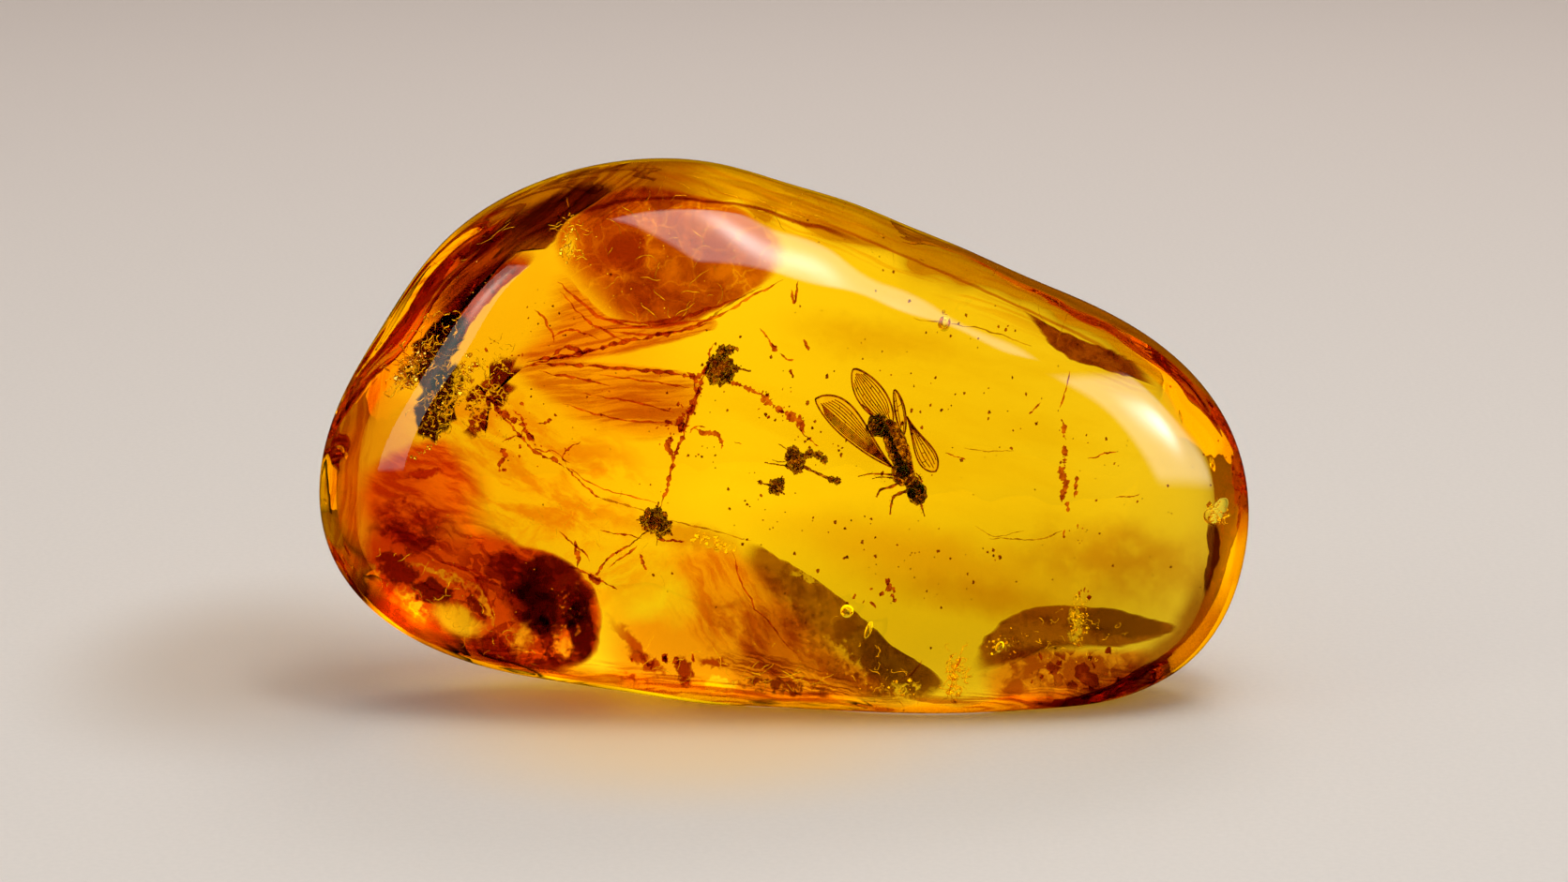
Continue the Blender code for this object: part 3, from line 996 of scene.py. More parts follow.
FLOWS: tuple[Flow, ...] = (
    Flow("flow_deep", 1, (0.965, 0.84, 0.8), stains=(
        StainOrShade((0.98, 0.82, 0.5), (-15.9, 1.03), (14, 16), 0, 0.5, 1.2),
        StainOrShade((0.85, 0.58, 0.3), (-22.95, -2.49), (5, 12), 10, 0.6, 0.8),
        StainOrShade((0.74, 0.52, 0.4), (18.07, -6.52), (7.5, 3), -8, 0.9, 1.4),
        StainOrShade((0.95, 0.9, 0.5), (8.25, 1.53), (16, 9), 0, 0.4, 0.5, 0.9, STREAKS, (16, 3), (0.44, 0.66), -14),
        StainOrShade((0.9, 0.72, 0.5), (8.25, -6.52), (12, 2.6), -14, 0.9, 0.8),
        StainOrShade((0.9, 0.8, 0.5), (4.73, 5.56), (7, 1.6), -8, 0.9, 0.8),
        StainOrShade((0.94, 0.64, 0.3), (-11.88, -6.52), (9, 4), 0, 0.7, 1.5, 1, STREAKS, (5, 1.6), (0.42, 0.62), 30,
            3),
        StainOrShade((0.97, 0.88, 0.5), (-13.89, 3.55), (9, 10), -20, 0.5, 1.2),
        StainOrShade((0.88, 0.56, 0.3), (-13.89, -1.48), (8.5, 4.5), -20, 0.5, 1.2, 1, STREAKS, (4, 1.2),
            (0.42, 0.6), -28, 1),
        StainOrShade((0.8, 0.55, 0.3), (-5.33, -5.01), (4.5, 0.9), -12, 0.8, 0.5),
        StainOrShade((0.85, 0.7, 0.3), (10.77, -8.53), (9, 1.6), -10, 0.9),
    )),
    Flow("fan_lower", 0.4, (0.93, 0.68, 0.3), (
        (-15.2, 4.15, 0.3), (-12.88, 4.45, 0.15), (-9.86, 4.25, 0.1), (-6.84, 4, 0.08), (-4.33, 3.45, 0.06),
        (-4.43, 2.29, 0.05), (-5.03, 1.03, 0.05), (-5.54, 0.23, 0.1), (-7.35, -0.18, 0.3), (-9.86, 0.23, 0.5),
        (-11.98, 1.13, 0.5), (-13.49, 2.44, 0.4), (-14.59, 3.45, 0.3),
    ), (
        StainOrShade((0.72, 0.48, 0.3), (-9.36, 2.29), (7, 4), 0, 0.2, 0.3, 1, STREAKS, (5, 0.45), (0.45, 0.6), 4),
        StainOrShade((0.8, 0.55, 0.3), (-7.35, 2.04), (5, 2), -5, 0.8, 0.4),
    )),
    Flow("fan_upper", 0.1, (0.86, 0.5, 0.3), (
        (-12.28, 9.34, 0.5), (-9.86, 7.07, 0.2), (-7.35, 6.06, 0.1), (-3.93, 6.52, 0.04), (-3.72, 6.06, 0.04),
        (-5.84, 5.26, 0.15), (-8.86, 4.55, 0.2), (-11.88, 4.05, 0.2), (-15.1, 4.15, 0.3), (-14.09, 5.56, 0.5),
        (-13.09, 7.57, 0.6),
    ), (
        StainOrShade((0.7, 0.42, 0.3), (-9.36, 6.06), (6.5, 3.6), -8, 0.2, 0.3, 1, STREAKS, (4.5, 0.4), (0.46, 0.6),
            12, 2),
    )),
    Flow("dome", -0.3, (0.84, 0.45, 0.2), (
        (-12.38, 10.49, 0.1), (-11.37, 12, 0.06), (-9.36, 13.36, 0.05), (-7, 13.71, 0.05),
        (-4.58, 13.41, 0.06), (-2.01, 12.41, 0.08), (-0.05, 11.1, 0.15), (0.2, 9.59, 0.2),
        (-1.21, 8.28, 0.06), (-3.22, 7.17, 0.05), (-5.74, 6.06, 0.05), (-8.66, 5.96, 0.2),
        (-10.77, 7.27, 0.4), (-12.08, 8.83, 0.35),
    ), (
        StainOrShade((0.6, 0.36, 0.3), (-6.09, 9.08), (6.8, 3.8), -5, 0.5, 0.6, 1, CLOUD, (1.9, 1), (0.34, 0.56), 0,
            4),
        StainOrShade((0.84, 0.6, 0.3), (-6.84, 9.59), (7.5, 4.5), -5, 0.1, 0.4, 1, WEB, (1.7, 0.07), (0, 1), 0, 2),
        StainOrShade((0.85, 0.6, 0.3), (-7.35, 12.61), (4.5, 1.4), 0, 0.4, 0.3, 1, STREAKS, (1.3, 0.25), (0.45, 0.6),
            84),
        StainOrShade((0.86, 0.66, 0.3), (-9.11, 10.49), (1.75, 1.75), 0, 0.08, 0.1),
        StainOrShade((0.66, 0.42, 0.3), (-6.84, 7.98), (5.4, 2.2), 4, 0.8, 0.8),
        StainOrShade((0.8, 0.58, 0.3), (-8.4, 10.19), (1.15, 1.15), 0, 0.1, 0.05),
    ), (
        StainOrShade(WHITE, (-11.52, 10.49), (0.5, 1), -10, 0.7, 0.3, 1, CLOUD, (0.4, 1), (0.36, 0.5)),
    )),
    Flow("band_brown", -0.5, (0.28, 0.11, 0.1), (
        (-19.93, 6.32, 0.4), (-18.52, 8.83, 0.35), (-16.16, 11.35, 0.3), (-12.88, 13.31, 0.2),
        (-9.86, 14.12, 0.15), (-8.86, 13.71, 0.1), (-10.47, 12.66, 0.06), (-11.68, 11.7, 0.06),
        (-12.38, 10.49, 0.1), (-13.79, 10.19, 0.15), (-15.4, 9.08, 0.15), (-16.91, 7.67, 0.15),
        (-18.12, 6.06, 0.2), (-19.33, 4.66, 0.3),
    ), (
        StainOrShade((0.55, 0.36, 0.3), (-14.9, 10.49), (7.5, 3), 40, 0.2, 0.3, 1, STREAKS, (5, 0.28), (0.45, 0.6),
            38),
        StainOrShade((0.6, 0.3, 0.3), (-11.88, 12.3), (3, 1.2), 35, 0.5, 0.3),
    )),
    Flow("band_red", -0.6, (0.5, 0.1, 0.1), (
        (-13.59, 10.49, 0.3), (-15.9, 9.59, 0.4), (-17.56, 7.98, 0.4), (-18.92, 6.32, 0.4),
        (-19.93, 4.96, 0.4), (-19.33, 4.35, 0.3), (-17.72, 4.76, 0.2), (-16.91, 6.06, 0.15),
        (-15.9, 7.32, 0.15), (-14.59, 8.58, 0.15), (-13.29, 9.79, 0.2),
    ), (
        StainOrShade((0.45, 0.22, 0.3), (-16.91, 7.57), (4, 2), 50, 0.2, 0.3, 1, CLOUD, (0.8, 1), (0.45, 0.6)),
    )),
    Flow("crust_upper", -0.8, (0.05, 0.012, 0.1), (
        (-17.21, 7.07, 0.15), (-18.42, 6.72, 0.1), (-19.43, 5.76, 0.1), (-20.23, 4.76, 0.15),
        (-21.04, 3.65, 0.3), (-20.84, 2.74, 0.3), (-19.93, 2.94, 0.15), (-19.17, 2.34, 0.15),
        (-18.42, 2.94, 0.1), (-17.92, 4.05, 0.1), (-17.41, 5.06, 0.15), (-16.81, 6.17, 0.2),
    ), (), (
        StainOrShade(WHITE, (-20.43, 3.55), (1.4, 0.7), 60, 0.5, 0.4, 0.8, VEINS, (0.5, 0.07)),
        StainOrShade(WHITE, (-18.42, 5.06), (2.2, 2), 50, 0.2, 0.5, 0.3, VEINS, (1.1, 0.035), seed=3),
    ), stray=0.4),
    Flow("crust_lower", -0.8, (0.05, 0.01, 0.1), (
        (-19.68, 2.24, 0.15), (-19.12, 3.1, 0.1), (-18.37, 3.75, 0.1), (-17.51, 4.15, 0.1),
        (-17.21, 3.15, 0.1), (-17.51, 1.94, 0.1), (-17.82, 0.93, 0.1), (-18.27, 0.13, 0.1),
        (-19.07, -0.13, 0.1), (-19.73, 0.43, 0.1), (-19.98, 1.38, 0.1),
    ), (), (
        StainOrShade(WHITE, (-18.52, 2.04), (2.4, 2.6), 60, 0.2, 0.5, 0.3, VEINS, (1.2, 0.04), seed=5),
        StainOrShade(WHITE, (-17.82, 2.34), (0.35, 2), -14, 0.5, 0.5, 0.9, VEINS, (0.45, 0.08), seed=2),
    ), stray=0.4),
    Flow("crust_right", -0.7, (0.3, 0.06, 0.1), (
        (-15.35, 4.71, 0.2), (-14.49, 4.66, 0.2), (-14.09, 3.95, 0.2), (-14.65, 3.35, 0.2),
        (-14.49, 2.34, 0.3), (-15.4, 1.94, 0.2), (-16.1, 1.53, 0.2), (-15.8, 0.63, 0.2), (-16.51, -0.18, 0.2),
        (-17.41, 0.23, 0.2), (-17.01, 1.13, 0.2), (-17.31, 2.04, 0.2), (-16.61, 2.94, 0.2),
        (-15.9, 3.65, 0.2),
    ), (
        StainOrShade((0.4, 0.2, 0.3), (-15.9, 2.29), (3, 3), 0, 0.2, 0.3, 1, SHARDS, (0.7, 1), (0.45, 0.55)),
    ), (
        StainOrShade(WHITE, (-16, 2.29), (2.8, 3.2), 60, 0.2, 0.5, 1, CLOUD, (0.9, 1), (0.53, 0.57), seed=5),
        StainOrShade(WHITE, (-16.91, 2.54), (1.6, 3.2), 60, 0.2, 0.5, 0.9, VEINS, (0.5, 0.04), seed=6),
    ), stray=0.6),
    Flow("red_left", -0.2, (0.92, 0.27, 0.1), (
        (-19.53, 0.13, 0.2), (-18.32, 0.23, 0.2), (-16.81, -0.28, 0.5), (-15.5, -1.48, 0.6),
        (-15.2, -3.25, 0.7), (-15.9, -5.26, 0.7), (-18.67, -6.01, 0.6), (-21.34, -6.01, 0.5),
        (-23.15, -4.3, 0.3), (-23.05, -1.79, 0.3), (-21.44, -0.48, 0.3),
    ), (
        StainOrShade((0.66, 0.3, 0.3), (-19.17, -2.49), (4, 3.4), -30, 0.3, 0.6, 1, STREAKS, (2.6, 0.5), (0.42, 0.6),
            -20),
        StainOrShade((0.55, 0.16, 0.1), (-19.33, -1.74), (1.2, 0.3), 6, 0.4, 0.4),
        StainOrShade((0.6, 0.3, 0.1), (-19.93, -4.5), (3, 1.6), -25, 0.5, 0.8, 1, CLOUD, (1, 1), (0.44, 0.56)),
    )),
    Flow("lump", -0.4, (0.66, 0.12, 0.1), (
        (-22.95, -3.9, 0.25), (-21.34, -3.1, 0.5), (-19.17, -2.69, 0.6), (-17.16, -3.2, 0.5),
        (-15.4, -4.3, 0.3), (-13.99, -5.41, 0.12), (-11.93, -6.17, 0.05), (-10.57, -7.37, 0.03),
        (-9.81, -8.78, 0.03), (-9.76, -10.44, 0.03), (-10.27, -11.75, 0.05), (-11.47, -12.46, 0.1),
        (-13.29, -12.66, 0.15), (-15.3, -12.36, 0.15), (-17.11, -11.7, 0.2), (-18.92, -10.74, 0.2),
        (-20.53, -9.54, 0.2), (-22.14, -7.93, 0.15), (-23, -6.11, 0.12),
    ), (
        StainOrShade((0.22, 0.08, 0.1), (-12.38, -8.13), (2.6, 2.2), -35, 0.25, 1.1),
        StainOrShade((0.22, 0.08, 0.1), (-10.87, -10.34), (0.9, 1.9), 8, 0.4, 0.9),
        StainOrShade((0.3, 0.1, 0.1), (-12.73, -10.34), (0.5, 1.6), 12, 0.5, 0.7),
        StainOrShade((0.4, 0.16, 0.1), (-14.29, -7.32), (2.3, 1.1), -28, 0.3, 0.9),
        StainOrShade((0.34, 0.14, 0.1), (-13.49, -9.03), (2, 1.4), -30, 0.4, 0.8),
        StainOrShade((0.5, 0.2, 0.1), (-10.77, -9.94), (1, 2.4), 14),
        StainOrShade((0.26, 0.1, 0.1), (-12.08, -11.95), (2.3, 0.6), 8, 0.4, 0.8),
        StainOrShade((0.36, 0.14, 0.1), (-15.9, -11.85), (2.4, 0.5), -24, 0.4, 0.8),
        StainOrShade((0.26, 0.09, 0.1), (-18.82, -8.13), (1.2, 0.8), -25, 0.3, 0.9),
        StainOrShade((0.32, 0.1, 0.1), (-20.73, -6.92), (1.4, 0.9), -35, 0.35, 0.9),
        StainOrShade((0.32, 0.12, 0.1), (-16.51, -8.83), (0.4, 1.3), 33, 0.5),
        StainOrShade((0.5, 0.2, 0.1), (-15.5, -11.05), (2, 0.7), -22, 0.4, 0.9),
        StainOrShade((0.45, 0.18, 0.1), (-20.43, -5.01), (2.4, 1), -20, 0.4, 0.9, 1, CLOUD, (1, 1), (0.42, 0.54), 0,
            4),
        StainOrShade((0.6, 0.3, 0.1), (-17.41, -5.26), (5.5, 2.4), -28, 0.3, 0.9, 1, STREAKS, (2.8, 0.35),
            (0.44, 0.58), -25),
        StainOrShade((0.6, 0.35, 0.1), (-13.89, -9.03), (5.5, 3.6), -30, 0.3, 0.9, 1, SHARDS, (0.5, 1),
            (0.55, 0.65)),
    ), (
        StainOrShade((1, 0.9, 0.5), (-17.51, -9.74), (1.9, 1.1), -32, 0.6, 0.6, 0.78),
        StainOrShade(WHITE, (-19.93, -8.78), (1.6, 0.5), -45, 0.6, 0.7, 0.8, CLOUD, (0.9, 1), (0.34, 0.48)),
        StainOrShade(WHITE, (-22.04, -7.02), (0.8, 0.4), -50, 0.6, 0.6, 0.8),
        StainOrShade((1, 0.55, 0.5), (-14.09, -10.64), (0.7, 1.3), -22, 0.8, 0.8, 0.7),
        StainOrShade((1, 0.45, 0.5), (-11.83, -11.05), (0.6, 0.9), 14, 0.8, 0.8, 0.6),
        StainOrShade((1, 0.6, 0.5), (-16, -8.73), (0.3, 1.4), 22, 0.7, 0.7, 0.55),
        StainOrShade(WHITE, (-18.42, -7.12), (2.6, 0.22), -22, 0.7, 0.8, 0.4),
        StainOrShade(WHITE, (-11.37, -9.29), (1.5, 2.2), 0, 0.5, 0.6, 0.4, CLOUD, (0.35, 1), (0.55, 0.64), 0, 6),
    ), 3.2, stands_for="dark_lump"),
    Flow("glow_orange", 0.5, (0.97, 0.55, 0.3), (
        (-9.86, -6.52, 0.5), (-6.84, -5.26, 0.4), (-3.82, -5.11, 0.2), (-0.7, -6.52, 0.3), (2.21, -9.13, 0.4),
        (4.48, -11.65, 0.4), (6.49, -13.87, 0.2), (0.2, -14.17, 0.1), (-4.83, -13.76, 0.1),
        (-8.86, -13.31, 0.1), (-10.27, -11.05, 0.3),
    ), (
        StainOrShade((0.68, 0.46, 0.3), (-0.2, -10.74), (2.8, 4), -35, 0.7, 0.8),
        StainOrShade((0.62, 0.34, 0.3), (-0.3, -11.05), (5.5, 2.8), -20, 0.5, 1.2, 1, STREAKS, (3, 0.9), (0.4, 0.62),
            -42),
        StainOrShade((0.82, 0.55, 0.3), (-3.32, -8.53), (5, 3), -30, 0.4, 0.8, 1, STREAKS, (3.5, 0.6), (0.42, 0.62),
            -60),
        StainOrShade((0.55, 0.2, 0.1), (-8.25, -10.74), (2.4, 0.4), -48, 0.6, 0.5),
        StainOrShade((0.5, 0.17, 0.1), (-7.35, -11.95), (1.5, 0.5), -30, 0.5),
        StainOrShade((0.34, 0.08, 0.1), (-5.39, -12.36), (0.55, 1.05), 14),
        StainOrShade((0.45, 0.14, 0.1), (-3.72, -11.9), (1.1, 0.35), -8, 0.5, 0.5),
        StainOrShade((0.48, 0.24, 0.1), (0.45, -12.66), (4.6, 1.1), -14, 0.4, 0.3, 1, STREAKS, (4, 0.16),
            (0.47, 0.57), -14),
        StainOrShade((0.3, 0.12, 0.1), (-0.05, -13.21), (3.2, 0.5), -8, 0.4, 0.5, 1, CLOUD, (0.9, 1), (0.46, 0.56)),
        StainOrShade((0.5, 0.2, 0.1), (-9.11, -12.66), (2.6, 0.4), -10, 0.5, 0.5, 1, CLOUD, (0.8, 1), (0.42, 0.55)),
    ), (
        StainOrShade(WHITE, (-7.75, -7.62), (3.8, 2.6), -25, 0.6, 1),
        StainOrShade(WHITE, (-3.98, -5.36), (1.6, 0.5), -14, 0.4, 0.5, 1, CLOUD, (0.4, 1), (0.4, 0.5)),
        StainOrShade(WHITE, (-3.42, -13.11), (1.1, 0.5), -4, 0.4, 0.5, 0.8),
    )),
    Flow("lens_left", 0.2, (0.42, 0.22, 0.1), (
        (-2.67, -6.01, 0.3), (-1.81, -5.36, 0.12), (-0.65, -6.01, 0.04), (1.41, -7.22, 0.03),
        (3.47, -8.78, 0.03), (5.64, -10.85, 0.03), (7.65, -12.15, 0.03), (8.61, -13.11, 0.05),
        (7.5, -14.07, 0.12), (4.98, -14.17, 0.2), (2.47, -13.56, 0.5), (0.7, -11.8, 0.9), (-0.91, -9.79, 0.9),
        (-2.16, -7.78, 0.7),
    ), (
        StainOrShade((0.55, 0.5, 0.3), (5.99, -11.8), (3.4, 1.8), -40, 0.5, 0.5),
        StainOrShade((0.6, 0.45, 0.3), (3.22, -9.54), (6.5, 3.2), -40, 0.3, 0.8, 1, CLOUD, (1.4, 1)),
    ), (
        StainOrShade(WHITE, (0.81, -10.14), (4.4, 1.2), -45, 0.9, 1.4, 0.85, STREAKS, (2.6, 0.8), (0.4, 0.54), -50),
        StainOrShade(WHITE, (3.47, -11.85), (2.6, 0.5), -46, 0.8, 1, 0.7),
        StainOrShade(WHITE, (1.11, -7.27), (1.5, 0.35), -20, 0.6, 0.8, 0.6, CLOUD, (0.5, 1), (0.45, 0.55)),
        StainOrShade(WHITE, (6.49, -13.46), (1.8, 0.5), 0, 0.4, 0.5, 0.8, CLOUD, (0.6, 1), (0.42, 0.55)),
    )),
    Flow("lens_right", 0.3, (0.42, 0.19, 0.1), (
        (10.07, -12.46, 0.3), (10.37, -11.15, 0.06), (11.27, -10.04, 0.04), (12.48, -9.24, 0.03),
        (13.89, -8.83, 0.03), (15.7, -8.83, 0.03), (17.56, -8.98, 0.03), (19.33, -9.39, 0.04),
        (21.04, -9.94, 0.04), (20.13, -10.54, 0.08), (18.32, -11.05, 0.15), (16.31, -11.15, 0.4),
        (13.79, -11.55, 0.6), (11.78, -12.15, 0.6),
    ), (
        StainOrShade((0.58, 0.55, 0.3), (18.07, -9.74), (2.8, 0.9), -8, 0.3, 0.3),
        StainOrShade((0.6, 0.45, 0.3), (13.29, -10.54), (5.5, 1.6), 0, 0.3, 0.8, 1, CLOUD, (1.2, 1)),
    ), (
        StainOrShade(WHITE, (15.65, -9.79), (0.5, 1.3), 0, 0.5, 0.5, 0.8, CLOUD, (0.4, 1), (0.45, 0.55)),
        StainOrShade(WHITE, (11.68, -11.05), (0.8, 0.7), 30, 0.5, 0.8, 0.6, CLOUD, (0.5, 1), (0.5, 0.58)),
    )),
    Flow("mottle_right", -0.3, (0.9, 0.5, 0.3), (
        (10.27, -12.66, 0.3), (11.02, -11.3, 0.4), (13.03, -10.95, 0.4), (15.8, -10.95, 0.4),
        (18.57, -11.05, 0.4), (20.13, -11.15, 0.3), (19.43, -12.36, 0.2), (17.72, -13.46, 0.15),
        (15.3, -14.17, 0.15), (12.78, -14.27, 0.15), (10.87, -13.97, 0.2),
    ), (
        StainOrShade((0.52, 0.28, 0.3), (14.8, -12.56), (5.5, 2.2), 0, 0.3, 0.8, 1, CLOUD, (1.3, 1), (0.42, 0.58)),
        StainOrShade((0.45, 0.15, 0.3), (15.8, -12.3), (3, 1.6), 0, 0.5, 0.6, 1, SHARDS, (0.6, 1), (0.55, 0.62)),
    )),
    Flow("strip_lower_right", -0.5, (0.34, 0.08, 0.1), (
        (14.29, -14.17, 0.3), (15.8, -13.66, 0.2), (17.82, -12.96, 0.2), (19.73, -11.75, 0.2),
        (20.33, -11.95, 0.2), (18.62, -13.36, 0.2), (16.56, -14.17, 0.2), (14.8, -14.47, 0.3),
    )),
    Flow("strip_right", 0.3, (0.22, 0.08, 0.1), (
        (22.75, -4.3, 0.2), (23.35, -4.5, 0.15), (23.55, -5.76, 0.1), (23.2, -7.12, 0.2), (22.7, -8.53, 0.3),
        (22.55, -7.62, 0.2), (22.8, -6.01, 0.1),
    )),
    Flow("lens_upper_right", 0.3, (0.36, 0.11, 0.1), (
        (12.78, 7.07, 0.2), (14.04, 6.32, 0.15), (15.8, 5.66, 0.15), (17.82, 4.86, 0.15), (19.33, 3.75, 0.2),
        (20.13, 2.74, 0.3), (19.07, 3.3, 0.15), (17.56, 3.7, 0.1), (15.8, 4.15, 0.1), (14.49, 4.96, 0.08),
        (13.49, 5.96, 0.1),
    ), (
        StainOrShade((0.6, 0.4, 0.3), (15.8, 4.81), (4, 1.5), -30, 0.3, 0.3, 1, CLOUD, (0.9, 1), (0.45, 0.6)),
    )),
    Flow("flow_rim", -0.9, WHITE, stains=(
        StainOrShade((0.78, 0.56, 0.2), (-10.87, 14.12), (8, 3.6), 14, 0.3),
        StainOrShade((0.62, 0.4, 0.2), (-13.89, 12.1), (9, 6), 35, 0.3, 0.6, 1, STREAKS, (6, 0.28), (0.44, 0.58), 36,
            ring=(0.8, 0.86)),
        StainOrShade((0.92, 0.74, 0.3), (7.25, 11.6), (20, 8), -19, 0.2, 0.6, 1, STREAKS, (8, 0.28), (0.46, 0.58),
            -20, ring=(0.78, 0.86)),
        StainOrShade((0.45, 0.14, 0.1), (-3.82, 13.61), (13, 4), -6, ring=(0.865, 0.875, 0.88, 0.89)),
        StainOrShade((0.72, 0.44, 0.2), (12.28, 10.09), (14, 6), -20, ring=(0.885, 0.892, 0.897, 0.905)),
        StainOrShade((0.76, 0.52, 0.2), (-22.95, -2.49), (5, 10), 8, 0.4, 0.6, 1, STREAKS, (6, 0.3), (0.44, 0.58),
            80, ring=(0.9, 0.94)),
        StainOrShade((0.7, 0.34, 0.2), (-20.43, -10.54), (5.4, 4), -42, 0.5, ring=(0.91, 0.95)),
        StainOrShade((0.34, 0.14, 0.2), (-21.54, -9.79), (3.4, 1.8), -46, 0.5, ring=(0.88, 0.93)),
        StainOrShade((0.82, 0.54, 0.3), (1.21, -13.56), (25, 5), -3, 0.2, ring=(0.91, 0.96)),
        StainOrShade((0.56, 0.3, 0.2), (0.7, -13.56), (24, 4), -3, 0.1, 0.3, 1, STREAKS, (6, 0.2), (0.44, 0.56), -4,
            ring=(0.89, 0.93)),
        StainOrShade((0.46, 0.28, 0.2), (20.84, -11.55), (6, 5), 40, 0.5, ring=(0.9, 0.94)),
    ), rings=10, hole=0.76),
)


# -------------------- strands


@dataclass(frozen=True)
class Strand:
    """A crack, twig or thread: places on the face that it runs through, and its width in mm."""

    points: tuple[Spot, ...]
    width: float = 0.08
    depth: float = 0.0
    jag: float = 0.1
    lumps: float = 0.6
    flat: float = 0.7
    thinnest: float = 0.012

    def add_to(self, parts: MeshParts, seed: float) -> None:
        """Add the strand's tube to a mesh, tapering to a point at each end."""
        curve = curve_through(np.array(self.points), 12)
        curve = curve + self.jag * wobble(curve, seed, 0.5) + self.jag * 0.4 * wobble(curve, seed + 5, 0.15)
        share = np.linspace(0, 1, len(curve))
        width = 0.7 * self.width * np.clip(np.minimum(share, 1 - share) * 7, 0.12, 1)
        flakes = 1.6 * wobble(curve, seed + 2, 0.28)[:, 0] + 1.5 * wobble(curve, seed + 7, 0.09)[:, 1]
        width = width * (1 + self.lumps * flakes)
        depth = self.depth + 0.3 * wobble(curve, seed + 3, 2.0)[:, 1]
        parts.tube(SIGHT.place(curve, depth), np.maximum(width, self.thinnest), 6, self.flat)


@dataclass
class Strands:
    """Strands of one finish, in one mesh."""

    name: str
    finish: Finish
    strands: tuple[Strand, ...]

    def build(self) -> Object:
        """Make the strands and dress them."""
        parts = MeshParts()
        for number, strand in enumerate(self.strands):
            strand.add_to(parts, number * 1.7)
        return parts.build(self.name, self.finish.build(), "debris")


